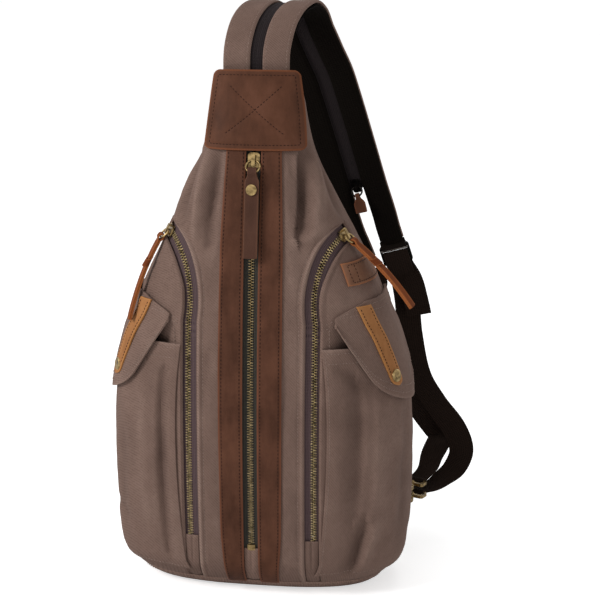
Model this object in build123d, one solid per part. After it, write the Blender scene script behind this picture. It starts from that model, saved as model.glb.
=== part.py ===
from build123d import *
from math import acos, cos, pi, radians, sin, sqrt
import os

# Canvas sling bag with a zip-split shoulder strap. Millimetres, +X to the wearer's viewer's right,
# front towards -Y, +Z up, origin at the centre of the base on the ground.

# ---- body envelope ------------------------------------------------------------------------------
BODY_WIDTH = 276.0            # widest point of the canvas body, pockets not counted
BODY_HEIGHT = 480.0           # base to the mouth that the strap is sewn into
BASE_DEPTH = 136.0            # back-to-front allowance of the lower body behind the middle
FRONT_REACH = 83.3            # furthest point of the front face ahead of the middle
FRONT_RADIUS = 1100.0         # the front face and its centre zip follow this arc in side view
FRONT_CREST = 172.7           # height at which the front face is furthest forward
BASE_CURL = 27.0              # how far the base edge is rolled in all round
BASE_CURL_HEIGHT = 38.0
FRONT_POWER = 2.7             # squareness of the front and back corners in plan
BACK_POWER = 3.2
WIDTH_OUTLINE = [(0, .935), (.104, .986), (.229, 1), (.344, .993), (.437, .957), (.521, .88),
                 (.604, .783), (.6875, .645), (.771, .5), (.854, .372), (.927, .312), (1, .284)]
BACK_OUTLINE = [(0, 1), (.417, 1), (.542, .88), (.667, .647), (.771, .353), (.854, .09),
                (.927, -.118), (1, -.265)]
MIDDLE_OUTLINE = [(0, 0), (.417, 0), (.625, -12), (.833, -28), (1, -29)]

# ---- cloth, leather and layers ------------------------------------------------------------------
CANVAS = 2.2                  # canvas with its lining
POCKET_CANVAS = 2.0
LEATHER = 1.8
SEAM_GAP = 0.5                # between two pieces sewn edge to edge
LAYER_GAP = 0.3               # between two pieces sewn face to face
BASE_BAND = 12.0              # height of the folded base binding
BASE_BOARD = 3.0
BACK_SEAM = radians(22)       # where the sides meet the back, seen from above

# ---- zips ---------------------------------------------------------------------------------------
CHAIN_WIDTH = 8.0
CHAIN_THICKNESS = 3.0
TAPE_THICKNESS = 0.8
TAPE_WIDTH = 7.0              # each side of the chain
TAPE_DEPTH = 3.0              # middle of the centre tape below the canvas face
SIDE_TAPE_DEPTH = 3.8
FIT_GAP = 0.15
SLIDER_LENGTH = 14.0
SLIDER_PLATE = 1.2
SLIDER_WALL = 1.0
SLIDER_PLAY = 0.3
BRIDGE_RISE = 3.6
BRIDGE_WIDTH = 3.0
CENTRE_CHANNEL = 7.2          # canvas edge to the middle of the centre zip
CENTRE_ZIP_LOW = 46.0
CENTRE_ZIP_HIGH = 407.5       # the closed slider's place, just under the yoke patch
SIDE_ZIP_X = 57.8
SIDE_ZIP_LOW = 46.0
SIDE_ARC_START = 265.0        # the straight run ends here and the curve towards the side begins
SIDE_ARC_RISE = 76.5
SIDE_ARC_END = radians(-10)
SIDE_SLIDER_SHARE = 0.9       # how far along the curve the closed slider sits
SIDE_TAPE_INNER = 8.5         # tape that shows between the chain and the front panel
SIDE_TAPE_OUTER = 6.3

# ---- leather trim -------------------------------------------------------------------------------
STRIP_INNER = 6.5
STRIP_OUTER = 28.0
STRIP_END_OUTER = 24.0
STRIP_TOP = 424.0
PATCH_LOW = 415.5
PATCH_HIGH = 484.0
PATCH_HALF_LOW = 43.8
PATCH_HALF_HIGH = 36.2
TAB_FRONT = radians(-30)
TAB_BACK = radians(-1)
TAB_LOW = 297.0
TAB_HIGH = 317.0
TAB_THICKNESS = 3.0

# ---- side pockets and flaps ---------------------------------------------------------------------
POCKET_FRONT = radians(-49)
POCKET_BACK = radians(17)
POCKET_LOW = 24.0
POCKET_MOUTH = 243.0
POCKET_ROOM = 18.0            # how far the body wall is set back behind the pocket
SETBACK_TOP = 266.0           # the wall comes forward again above the pocket's mouth, under the flap
FLAP_FRONT = radians(-40.5)
FLAP_BACK = radians(12)
FLAP_SEAM_FRONT = 269.5
FLAP_SEAM_BACK = 283.0
FLAP_SEAM_BEND = 3.0          # the seam climbs from the front and is level after this share's inverse
FLAP_CANVAS = 2.2
FLAP_EDGE = [(0, 262), (.048, 248), (.086, 238), (.133, 226), (.2, 211), (.276, 201), (.39, 193), (.543, 187),
             (.695, 185), (.83, 188), (.924, 200), (1, 226)]
FLAP_STRIP_WIDTH = 14.0
SNAP_HEIGHT = 213.0
SNAP_ANGLE = radians(-20)
SNAP_RADIUS = 6.0
SNAP_CAP = 2.0

# ---- back pads ----------------------------------------------------------------------------------
PAD_THICKNESS = 8.0
PAD_INNER = radians(84)
PAD_OUTER = radians(40)
PAD_LOW = 40.0
PAD_HIGH = 380.0

# ---- strap --------------------------------------------------------------------------------------
STRAP_WIDTH = 59.5
STRAP_FACE = 1.8
STRAP_PAD = 5.2
STRAP_SPLIT = 5.4             # each half's edge to the middle of its zip
STRAP_CHAIN_WIDTH = 6.0
STRAP_CHAIN_THICKNESS = 2.2
STRAP_TAPE = 0.6
STRAP_TAPE_WIDTH = 9.0
STRAP_ROUTE = [(-1.5, -29, 448), (-1.5, -30, 480), (-1, -28, 502), (3, -17, 522), (9.5, 4, 534.5),
               (17, 28, 537), (23, 48, 527), (28, 61, 509), (36, 70.5, 488), (46, 80, 463)]
STRAP_ZIP_END = (76, 111, 355)
OUTER_HALF_ROUTE = [(101.5, 117.5, 331), (105.5, 120.5, 316)]
INNER_HALF_ROUTE = [(65, 118, 328), (71, 122, 309), (77, 125.5, 294)]
HALF_END = [Vector(109.5, 123, 303), Vector(82, 128, 281)]

# ---- strap hardware -----------------------------------------------------------------------------
BUCKLE_WIDTH = 30.0
BUCKLE_LENGTH = 21.0
BUCKLE_SIDE = 2.2
BUCKLE_BAR = 3.0
BUCKLE_THICKNESS = 2.4
LOOP_WALL = 1.3               # webbing thickness
LOOP_PLAY = 0.2
WEBBING_WIDTH = 25.0
WEBBING_END_WIDTH = 19.0
OUTER_WEBBING = [(121, 133, 262), (125, 137, 239), (129, 142, 201), (139, 146, 158), (157, 148, 127),
                 (176, 146, 102), (184, 139, 82), (178, 130, 66), (166, 119, 57), (156, 110, 52)]
INNER_WEBBING = [(90, 139, 243), (96, 144, 222), (107, 153, 188), (118, 162, 153), (138, 168, 119),
                 (158, 167, 98), (170, 160, 86), (172, 148, 77), (165, 130, 69), (156, 113, 65)]
OUTER_TAIL = [(128, 129.5, 262), (134, 128, 243), (138, 127, 226)]
INNER_TAIL = [(92, 130, 250), (96, 130, 236)]
RING_WIRE = 1.9
RING_BAR = 30.0
RING_TAB_REACH = 11.0
RING_TAB_WIDTH = 24.0
RING_HEIGHT = 56.25
RING_OUT = Vector(0.4, 0.9165, 0)
HOOK_SPACING = 12.5
HOOK_LOOP_WIDTH = 26.0
HOOK_LOOP_LENGTH = 13.0
HOOK_BAR = 3.0
HOOK_THICKNESS = 4.0
HOOK_INNER = 6.2
HOOK_OUTER = 9.0
HOOK_COLLAR = 2.5
SWIVEL_PIN = 1.6
SWIVEL_PLAY = 0.05
SWIVEL_BOSS = 3.4
GATE_FROM = 50
GATE_TO = 130
GATE_TOE = 8                  # room for the gate's tip to swing in past the hook's nose
GATE_HEEL = 7                 # room for the gate's heel to turn, in degrees of the hook's ring

# ---- pulls --------------------------------------------------------------------------------------
PULL_WIRE = 0.9
CENTRE_RING = 6.2             # radius to the wire's middle
CENTRE_PULL = (12.6, 73.0)    # width and length of the leather
CENTRE_PULL_TILT = 27
CENTRE_PULL_DROOP = 29
SIDE_RING = 5.0
SIDE_LACE = (7.5, 76.0)
SIDE_LACE_TILT = [46, 50]     # left hangs by the body, right stands out from it
SIDE_LACE_DROOP = [17, 0]
STRAP_PULL = (11.0, 15.0)
STRAP_PULL_TILT = 42
STRAP_PULL_DROOP = 32
STRAP_RING = 5.0
PULL_LEATHER = 3.2
STUD_RADIUS = 4.8

X, Y, Z = Vector(1, 0, 0), Vector(0, 1, 0), Vector(0, 0, 1)


def mix(a, b, share):
    return a + (b - a) * share


def curve_value(knots, t):
    """Smooth value at t through hand-chosen (t, value) points; values may be numbers or vectors."""
    t = min(max(t, knots[0][0]), knots[-1][0])
    last = len(knots) - 1
    i = max(j for j in range(last) if knots[j][0] <= t)
    (t0, v0), (t1, v1) = knots[i], knots[i + 1]
    span = t1 - t0

    def slope(j):
        low, high = max(j - 1, 0), min(j + 1, last)
        return (knots[high][1] - knots[low][1]) * (1 / (knots[high][0] - knots[low][0]))

    s = (t - t0) / span
    return (v0 * (2 * s**3 - 3 * s**2 + 1) + slope(i) * (span * (s**3 - 2 * s**2 + s))
            + v1 * (3 * s**2 - 2 * s**3) + slope(i + 1) * (span * (s**3 - s**2)))


# ---- the body's outer face ----------------------------------------------------------------------
def curl(z):
    return BASE_CURL * (1 - min(z / BASE_CURL_HEIGHT, 1)) ** 2


def front_y(z):
    return FRONT_RADIUS - FRONT_REACH - sqrt(FRONT_RADIUS**2 - (z - FRONT_CREST)**2) + curl(z)


def section(z):
    share = z / BODY_HEIGHT
    half = BODY_WIDTH / 2 * curve_value(WIDTH_OUTLINE, share) - curl(z)
    back = BASE_DEPTH / 2 * curve_value(BACK_OUTLINE, share) - curl(z)
    return half, front_y(z), back, curve_value(MIDDLE_OUTLINE, share)


def wall(angle, z, inset=0.0):
    half, front, back, middle = section(z)
    c, s = cos(angle), sin(angle)
    reach, power = (middle - front, FRONT_POWER) if s < 0 else (back - middle, BACK_POWER)
    radius = ((abs(c) / (half - inset))**power + (abs(s) / (reach - inset))**power) ** (-1 / power)
    return Vector(radius * c, middle + radius * s, z)


def wall_normal(angle, z):
    step = 0.002
    across = wall(angle + step, z) - wall(angle - step, z)
    up = wall(angle, z + 0.5) - wall(angle, z - 0.5)
    return across.cross(up).normalized()


def skin(angle, z, depth=0.0):
    return wall(angle, z) + wall_normal(angle, z) * depth


def angle_at(x, z):
    """Angle of the point of the front face that lies x from the middle."""
    low, high = -pi / 2, 0.0
    for _ in range(30):
        middle = (low + high) / 2
        low, high = (middle, high) if wall(middle, z).X < x else (low, middle)
    return low


# ---- builders -----------------------------------------------------------------------------------
def sheet(place, columns, rows, low, high):
    """Closed solid between two depths of a curved face; place(column, row, depth) gives points."""
    inner, outer = [Face.make_surface_from_array_of_points(
        [[place(c, r, depth) for c in columns] for r in rows]) for depth in (low, high)]
    rims = inner.edges()
    sides = [Face.make_surface_from_curves(edge, min(rims, key=lambda rim: ((rim @ 0.5) - (edge @ 0.5)).length))
             for edge in outer.edges()]
    return Solid(Shell([inner, outer] + sides))


def steps(count, low=0.0, high=1.0):
    return [low + (high - low) * i / (count - 1) for i in range(count)]


def frame_at(route, t, facing):
    """Place, across, forward and outward directions of a band on a route of (t, point) knots."""
    point = curve_value(route, t)
    e = 1e-3 * (route[-1][0] - route[0][0])
    forward = (curve_value(route, t + e) - curve_value(route, t - e)).normalized()
    across = forward.cross(facing(t)).normalized()
    return point, across, forward, across.cross(forward)


def knots(points):
    """Route knots spaced by the distance between the points."""
    points = [Vector(*p) if isinstance(p, tuple) else p for p in points]
    route, t = [(0.0, points[0])], 0.0
    for a, b in zip(points, points[1:]):
        t += (b - a).length
        route.append((t, b))
    return route


def band(frames, edges, low, high):
    """Ruled solid of a flat band: each frame's section runs between two edges and two depths."""
    outlines = []
    for (point, across, _, out), (left, right) in zip(frames, edges):
        corners = [point + across * u + out * d for u, d in ((left, low), (right, low), (right, high), (left, high))]
        outlines.append(Wire.make_polygon(corners, close=True))
    return Solid.make_loft(outlines, ruled=True)


def block(x0, x1, y0, y1, z0, z1):
    return Pos((x0 + x1) / 2, (y0 + y1) / 2, (z0 + z1) / 2) * Box(x1 - x0, y1 - y0, z1 - z0)


def mirrored(shape):
    return mirror(shape, about=Plane.YZ)


def save(name, *solids, colour=(0.44, 0.36, 0.33)):
    shape = solids[0] if len(solids) == 1 else Compound(children=list(solids))
    if isinstance(shape, Compound) and len(shape.solids()) == 1:
        shape = shape.solids()[0]
    shape.label = name
    shape.color = Color(*colour)
    export_step(shape, f"parts/{name}.step")


# ---- body panels --------------------------------------------------------------------------------
PANEL_LOW = BASE_BAND + SEAM_GAP
SHOULDER_LOW = SIDE_ARC_START + SIDE_ARC_RISE + SIDE_TAPE_INNER


def zip_line(t, offset=0.0):
    """Angle and height on the right side zip: t 0 to 1 straight up, 1 to 2 round to the side."""
    x = SIDE_ZIP_X + offset
    if t <= 1:
        z = mix(PANEL_LOW, SIDE_ARC_START, t)
        return angle_at(x, z), z
    turn = (t - 1) * pi / 2
    start = angle_at(x, SIDE_ARC_START)
    return SIDE_ARC_END + (start - SIDE_ARC_END) * cos(turn), SIDE_ARC_START + (SIDE_ARC_RISE - offset) * sin(turn)


PANEL_ROWS = [0, .015, .035, .06, .09, .13, .2, .3, .45, .6, .75, .88, 1, 1.15, 1.3, 1.45, 1.6, 1.75, 1.88, 2]
PANEL_HEIGHTS = [zip_line(t, -SIDE_TAPE_INNER)[1] for t in PANEL_ROWS]


def front_panel():
    def place(c, t, depth):
        angle, z = zip_line(t, -SIDE_TAPE_INNER)
        return skin(mix(angle_at(CENTRE_CHANNEL, z), angle, c), z, depth)
    return sheet(place, steps(7), PANEL_ROWS, -CANVAS, 0)


def pocket_setback(angle, z):
    across = (angle - POCKET_FRONT) / (POCKET_BACK - POCKET_FRONT)
    up = (z - POCKET_LOW) / (SETBACK_TOP - POCKET_LOW)
    if not (0 < across < 1 and 0 < up < 1):
        return 0.0
    return POCKET_ROOM * ((1 - (2 * across - 1)**4) * (1 - (2 * up - 1)**6))**2


ARC_ROWS = [1.06, 1.13, 1.2, 1.28, 1.36, 1.45, 1.54, 1.63, 1.72, 1.8, 1.88, 1.94, 2]


def side_panel():
    def place(c, t, depth):
        angle, z = zip_line(t, SIDE_TAPE_OUTER)
        angle, z = mix(angle, BACK_SEAM, c), z
        return skin(angle, z, depth - pocket_setback(angle, z))
    rows = [0, .015, .035] + steps(28, .06, 1) + ARC_ROWS
    return sheet(place, steps(26), rows, -CANVAS, 0)


def shoulder_panel():
    def place(c, r, depth):
        low = SHOULDER_LOW + SEAM_GAP
        angle = mix(angle_at(CENTRE_CHANNEL, mix(low, BODY_HEIGHT, r)), BACK_SEAM, c)
        past = min(max((angle - SIDE_ARC_END) / (BACK_SEAM - SIDE_ARC_END), 0), 1)
        low -= (SIDE_TAPE_INNER + SIDE_TAPE_OUTER - SEAM_GAP) * past**2 * (3 - 2 * past)
        return skin(angle, mix(low, BODY_HEIGHT, r), depth)
    return sheet(place, steps(11), steps(9), -CANVAS, 0)


def back_panel():
    gap = radians(0.6)

    def place(c, z, depth):
        return skin(mix(BACK_SEAM + gap, pi - BACK_SEAM - gap, c), z, depth)
    return sheet(place, steps(21), PANEL_HEIGHTS + steps(7, SHOULDER_LOW + 20, BODY_HEIGHT), -CANVAS, 0)


def base_tray():
    def outline(z, inset):
        return Wire([Edge.make_spline([wall(2 * pi * i / 48, z, inset) for i in range(48)], periodic=True)])
    outer = Solid.make_loft([outline(z, 0) for z in steps(4, 0, BASE_BAND)])
    inner = Solid.make_loft([outline(z, CANVAS) for z in steps(3, BASE_BOARD, BASE_BAND + 1)])
    return outer - inner


def back_pad():
    def place(c, r, depth):
        lift = PAD_THICKNESS * (1 - abs(2 * c - 1)**4) * (1 - abs(2 * r - 1)**8)
        depth = 2 * LAYER_GAP if depth < 0.5 else 2 * LAYER_GAP + 1.5 + lift
        return skin(mix(PAD_OUTER, PAD_INNER, c), mix(PAD_LOW, PAD_HIGH, r), depth)
    return sheet(place, steps(9), steps(13), 0, 1)


# ---- leather on the body ------------------------------------------------------------------------
def leather_strip():
    ends = [(PANEL_LOW, STRIP_END_OUTER), (70, STRIP_OUTER), (320, STRIP_OUTER), (STRIP_TOP, STRIP_END_OUTER)]

    def place(c, z, depth):
        return skin(angle_at(mix(STRIP_INNER, curve_value(ends, z), c), z), z, depth)
    rows = PANEL_HEIGHTS + [SHOULDER_LOW + 25, SHOULDER_LOW + 50, STRIP_TOP]
    return sheet(place, steps(4), rows, LAYER_GAP, LAYER_GAP + LEATHER)


PATCH_DEPTH = 2 * LAYER_GAP + LEATHER


def yoke_patch():
    def place(c, r, depth):
        z = mix(PATCH_LOW, PATCH_HIGH, r)
        x = mix(PATCH_HALF_LOW, PATCH_HALF_HIGH, r) * c
        angle = angle_at(abs(x), z)
        return skin(angle if x >= 0 else -pi - angle, z, depth)
    return sheet(place, steps(15, -1, 1), steps(7), PATCH_DEPTH, PATCH_DEPTH + LEATHER)


def side_tab():
    def place(angle, r, depth):
        slope = (angle - TAB_FRONT) / (TAB_BACK - TAB_FRONT)
        return skin(angle, mix(TAB_LOW, TAB_HIGH, r) + 2 * slope, depth)
    return sheet(place, steps(6, TAB_FRONT, TAB_BACK), steps(4), LAYER_GAP, LAYER_GAP + TAB_THICKNESS)


# ---- zips ---------------------------------------------------------------------------------------
def side_frame(t):
    """Place and directions of the right side zip; its tape lies SIDE_TAPE_DEPTH under the canvas face."""
    e = 0.01
    point = skin(*zip_line(t), -SIDE_TAPE_DEPTH)
    forward = (skin(*zip_line(min(t + e, 2)), -SIDE_TAPE_DEPTH) - skin(*zip_line(t - e), -SIDE_TAPE_DEPTH)).normalized()
    out = wall_normal(*zip_line(t))
    across = forward.cross(out).normalized()
    return point, across, forward, across.cross(forward)


def centre_frame(z):
    out = wall_normal(-pi / 2, z)
    forward = X.cross(out) * -1
    return skin(-pi / 2, z, -TAPE_DEPTH), X, forward, out


def zip_bands(frames, chain_width, chain_thickness, tape_width, tape, chain_range):
    """Two tapes over all frames and two half chains over the frames in chain_range."""
    half = chain_width / 2
    tapes, chains = [], []
    for side in (-1, 1):
        span = sorted((side * (half + FIT_GAP), side * (half + tape_width)))
        tapes.append(band(frames, [span] * len(frames), -tape / 2, tape / 2))
        part = frames[chain_range[0]:chain_range[1]]
        span = sorted((side * FIT_GAP / 2, side * half))
        chains.append(band(part, [span] * len(part), -chain_thickness / 2, chain_thickness / 2))
    return tapes, chains


def slider(frame, chain_width, chain_thickness, turned=False, rise=BRIDGE_RISE):
    """Zip slider on a frame: two plates, side walls with a slot for the tape, a wedge and a bridge."""
    point, across, _, out = frame
    half = chain_width / 2 + SLIDER_PLAY + SLIDER_WALL
    inside = chain_thickness / 2 + SLIDER_PLAY
    top = inside + SLIDER_PLATE
    length = SLIDER_LENGTH
    plate = extrude(RectangleRounded(2 * half, length, half * 0.6), SLIDER_PLATE)
    body = Pos(0, 0, inside) * plate + Pos(0, 0, -top) * plate
    slot = TAPE_THICKNESS / 2 + SLIDER_PLAY
    for side in (-1, 1):
        x0, x1 = sorted((side * (half - SLIDER_WALL), side * half))
        for z0, z1 in ((slot, inside + 0.2), (-inside - 0.2, -slot)):
            body += block(x0, x1, -length / 2 + 3, length / 2 - 3, z0, z1)
    body += block(-1.7, 1.7, 3.3, length / 2 - 0.6, -inside - 0.2, inside + 0.2)
    bridge = block(-BRIDGE_WIDTH / 2, BRIDGE_WIDTH / 2, -4.8, 4.8, top - 0.2, top + rise)
    bridge -= block(-BRIDGE_WIDTH, BRIDGE_WIDTH, -3.4, 3.4, top - 0.3, top + rise - 1.1)
    body += Rot(0, 0, 90 if turned else 0) * bridge
    return Plane(point, x_dir=across, z_dir=out).location * body


def pull_pivot(frame, chain_thickness, rise=BRIDGE_RISE):
    """The point under the bridge's arch that a pull's ring turns about."""
    point, _, _, out = frame
    return point + out * (chain_thickness / 2 + SLIDER_PLAY + SLIDER_PLATE + (rise - 1.1) / 2)


def pull_parts(pivot, axis, hang, ring_radius, leather, neck, droop):
    """Ring through the bridge along hang, and a leather pull folded through it that droops towards the body."""
    width, length = leather
    plane = Plane(pivot, x_dir=axis, z_dir=axis.cross(hang * -1))
    ring = Pos(0, -ring_radius, 0) * Torus(ring_radius, PULL_WIRE)
    drop = 2 * ring_radius
    sag = ring_radius - sqrt(ring_radius**2 - (neck / 2)**2)
    eye = PULL_WIRE + sag + LOOP_PLAY
    outer = eye + PULL_LEATHER / 2
    fold = Pos(0, -drop + sag / 2, 0) * Rot(0, 90, 0) * Cylinder(outer, neck)
    hole = Pos(0, -drop + sag / 2, 0) * Rot(0, 90, 0) * Cylinder(eye, neck + 2)
    tab = Pos(0, -drop - outer + 1 - length / 2, 0) * extrude(
        RectangleRounded(width, length, 2.0), PULL_LEATHER / 2, both=True)
    stem = block(-neck / 2, neck / 2, -drop - outer - 2, -drop - eye - 0.2, -PULL_LEATHER / 2, PULL_LEATHER / 2)
    swing = Pos(0, -drop + sag / 2, 0) * Rot(droop, 0, 0) * Pos(0, drop - sag / 2, 0)
    return plane, ring, swing * ((fold + tab + stem) - hole), swing * Pos(0, -drop - outer + 1, 0)


def save_pull(name, plane, metal, leather_name, leather):
    save(name, *[plane.location * m for m in metal], colour=(0.55, 0.45, 0.28))
    save(leather_name, plane.location * leather, colour=(0.42, 0.24, 0.13))


# ---- pockets and flaps --------------------------------------------------------------------------
def pocket():
    def place(c, r, depth):
        return skin(mix(POCKET_FRONT, POCKET_BACK, c), mix(POCKET_LOW, POCKET_MOUTH, r), depth)
    return sheet(place, steps(24), [0, .03, .07] + steps(14, .12, 1), LAYER_GAP, LAYER_GAP + POCKET_CANVAS)


FLAP_LOW = 4 * LAYER_GAP + POCKET_CANVAS
FLAP_TOP = FLAP_LOW + FLAP_CANVAS


def flap_lift(z):
    """How far the flap stands off the body: sewn flat at its seam, over the pocket lower down."""
    share = min(max((z - POCKET_MOUTH - 1) / 24, 0), 1)
    return (3 * LAYER_GAP - FLAP_LOW) * share**2 * (3 - 2 * share)


def flap():
    def place(c, r, depth):
        seam = mix(FLAP_SEAM_FRONT, FLAP_SEAM_BACK, min(c * FLAP_SEAM_BEND, 1) ** 0.8)
        z = mix(curve_value(FLAP_EDGE, c), seam, r)
        return skin(mix(FLAP_FRONT, FLAP_BACK, c), z, depth + flap_lift(z))
    return sheet(place, steps(25), steps(18), FLAP_LOW, FLAP_TOP)


STRIP_START_ANGLE = radians(-26)


def flap_strip():
    def place(c, r, depth):
        z = mix(SNAP_HEIGHT - 9, 279.0, r)
        middle = mix(SNAP_ANGLE, STRIP_START_ANGLE, (z - SNAP_HEIGHT) / (279.0 - SNAP_HEIGHT))
        half = FLAP_STRIP_WIDTH / 2 / sqrt(wall(middle, z).X**2 + wall(middle, z).Y**2)
        return skin(middle + half * c, z, depth + flap_lift(z))
    return sheet(place, steps(5, -1, 1), steps(9), FLAP_TOP + LAYER_GAP, FLAP_TOP + LAYER_GAP + LEATHER)


def snap_plane(depth):
    return Plane(skin(SNAP_ANGLE, SNAP_HEIGHT, depth), z_dir=wall_normal(SNAP_ANGLE, SNAP_HEIGHT))


def snap_cap():
    """Domed cap on the flap's leather strip."""
    plane = snap_plane(FLAP_TOP + 2 * LAYER_GAP + LEATHER)
    cap = Cylinder(SNAP_RADIUS, SNAP_CAP, align=(Align.CENTER, Align.CENTER, Align.MIN))
    return plane.location * fillet(cap.edges().sort_by(Axis.Z)[-1], SNAP_CAP * 0.8)


def snap_socket():
    """Socket behind the pocket canvas, inside the pocket."""
    return snap_plane(-0.4 - SNAP_CAP).location * Cylinder(
        SNAP_RADIUS - 1, SNAP_CAP, align=(Align.CENTER, Align.CENTER, Align.MIN))


# ---- strap --------------------------------------------------------------------------------------
MAIN_ROUTE = knots(STRAP_ROUTE + [STRAP_ZIP_END])
PAD_TOP = -0.4 - STRAP_TAPE / 2 + 1.3 - LAYER_GAP
TAPE_MIDDLE = 1.3


def main_frames(count):
    return [frame_at(MAIN_ROUTE, t, lambda _: facing_out(t)) for t in steps(count, 0, MAIN_ROUTE[-1][0])]


def facing_out(t):
    """Direction of the strap's canvas side: forward in front, up on top, backward behind."""
    e = 0.5
    forward = (curve_value(MAIN_ROUTE, t + e) - curve_value(MAIN_ROUTE, t - e)).normalized()
    return forward.cross(X - forward * X.dot(forward)).normalized() * -1


def strap_seat():
    """Frame of the closed strap slider, on the strap's inner side at the zip's lower end."""
    point, across, forward, out = frame_at(MAIN_ROUTE, MAIN_ROUTE[-1][0] - 4, lambda t: facing_out(t))
    return point + out * TAPE_MIDDLE, across * -1, forward, out * -1


def half_frames(side, route, end):
    """Frames of one half: along the joined strap, then along its own way to its buckle."""
    offset = side * (STRAP_WIDTH / 2 + STRAP_SPLIT) / 2
    frames = main_frames(40)
    point, across, forward, out = frames[-1]
    own = knots([point + across * offset - forward * 6, point + across * offset] + [Vector(*p) for p in route] + [end])
    tail = [frame_at(own, t, lambda _: out) for t in steps(9, 8, own[-1][0])]
    joined = [(p + a * offset, a, f, o) for p, a, f, o in frames]
    return joined, tail


def strap_half(side, route, end, low, high, spare):
    joined, tail = half_frames(side, route, end)
    half = (STRAP_WIDTH / 2 - STRAP_SPLIT) / 2 - spare
    frames = joined + tail[:-1] + [tail[-1]]
    return band(frames, [(-half, half)] * len(frames), low, high)


def end_eye(frame, bar, wall_thickness, width, stem):
    """Cloth sewn round a bar: a tube about the bar's line and a flat stem behind it."""
    point, across, forward, out = frame
    plane = Plane(point, x_dir=across, z_dir=out)
    outer = bar + wall_thickness
    shape = Rot(0, 90, 0) * Cylinder(outer, width)
    shape += block(-width / 2, width / 2, bar * 0.9, stem, -wall_thickness, wall_thickness)
    shape -= Rot(0, 90, 0) * Cylinder(bar, width + 2)
    return plane.location * shape


BAR_EYE = sqrt((BUCKLE_BAR / 2)**2 + (BUCKLE_THICKNESS / 2)**2) + LOOP_PLAY


def buckle_frames(tail):
    """Frames at the buckle's top bar and middle bar; the plane's y runs up the strap."""
    point, across, forward, out = tail[-1]
    up = forward * -1
    top = point + forward * (BAR_EYE + LOOP_WALL + 3)
    middle = top + forward * ((BUCKLE_LENGTH - BUCKLE_BAR) / 2)
    return (top, across * -1, up, out * 1), (middle, across * -1, up, out * 1)


def buckle(middle):
    point, across, up, out = middle
    shape = extrude(RectangleRounded(BUCKLE_WIDTH, BUCKLE_LENGTH, 3), BUCKLE_THICKNESS / 2, both=True)
    window = (BUCKLE_LENGTH - 3 * BUCKLE_BAR) / 2
    for side in (-1, 1):
        shape -= Pos(0, side * (window + BUCKLE_BAR) / 2, 0) * Box(
            BUCKLE_WIDTH - 2 * BUCKLE_SIDE, window, BUCKLE_THICKNESS * 2)
    return Plane(point, x_dir=across, z_dir=out).location * shape


# ---- lower rings and hooks ----------------------------------------------------------------------
RING_SEAT = skin(BACK_SEAM, RING_HEIGHT, LAYER_GAP)
RING_BAR_CENTRE = RING_SEAT + RING_OUT * RING_TAB_REACH
HOOK_SIDE = RING_OUT.cross(Z)
BOW_REACH = sqrt((RING_BAR / 2)**2 - (HOOK_SPACING / 2)**2)
WIRE_IN_HOOK = HOOK_INNER - RING_WIRE - 2.0
HOOK_CENTRE = HOOK_LOOP_LENGTH / 2 + 1.3 + HOOK_COLLAR + HOOK_OUTER - 0.8


def d_ring():
    half = RING_BAR / 2
    shape = Rot(90, 0, 0) * Cylinder(RING_WIRE, RING_BAR) + Rot(0, 0, -90) * Torus(half, RING_WIRE, major_angle=180, align=None)
    for side in (-1, 1):
        shape += Pos(0, side * half, 0) * Sphere(RING_WIRE)
    return Plane(RING_BAR_CENTRE, x_dir=RING_OUT, z_dir=RING_OUT.cross(Z)).location * shape


def ring_tab():
    frame = (RING_BAR_CENTRE, Z, RING_OUT, RING_OUT.cross(Z))
    point, across, _, out = frame
    plane = Plane(point, x_dir=across, z_dir=out)
    bar = RING_WIRE + LOOP_PLAY
    shape = Rot(0, 90, 0) * Cylinder(bar + LOOP_WALL, RING_TAB_WIDTH)
    reach = RING_TAB_REACH - 1.2
    sign = 1 if plane.y_dir.dot(RING_OUT) < 0 else -1
    y0, y1 = sorted((sign * bar * 0.9, sign * reach))
    shape += block(-RING_TAB_WIDTH / 2, RING_TAB_WIDTH / 2, y0, y1, -LOOP_WALL, LOOP_WALL)
    shape -= Rot(0, 90, 0) * Cylinder(bar, RING_TAB_WIDTH + 2)
    return plane.location * shape


def hook_plane(level):
    """Local x towards the ring, local z up; level is -1 for the lower hook, 1 for the upper."""
    wire = RING_BAR_CENTRE + RING_OUT * BOW_REACH + Z * (level * HOOK_SPACING / 2)
    return Plane(wire + RING_OUT * (HOOK_CENTRE + WIRE_IN_HOOK), x_dir=RING_OUT * -1, z_dir=Z)


def hook_loop():
    half = HOOK_LOOP_LENGTH / 2
    shape = extrude(RectangleRounded(HOOK_LOOP_LENGTH, HOOK_LOOP_WIDTH, 3), HOOK_BAR / 2, both=True)
    shape -= Box(HOOK_LOOP_LENGTH - 2 * HOOK_BAR, HOOK_LOOP_WIDTH - 2 * HOOK_BAR, 2 * HOOK_BAR)
    shape += Pos(half - HOOK_BAR / 2 + 0.5, 0, 0) * Rot(0, 90, 0) * Cylinder(SWIVEL_BOSS, HOOK_BAR + 1)
    return shape - Pos(half, 0, 0) * Rot(0, 90, 0) * Cylinder(SWIVEL_PIN + SWIVEL_PLAY, 2 * HOOK_BAR + 4)


def annulus_sector(inner, outer, start, end, thickness):
    shape = Cylinder(outer, thickness) - Cylinder(inner, thickness + 2)
    wedge = extrude(make_face(Polyline(*[(0, 0)] + [(3 * outer * cos(radians(a)), 3 * outer * sin(radians(a)))
                              for a in steps(7, start, end)], close=True)), thickness, both=True)
    return shape, wedge


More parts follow.
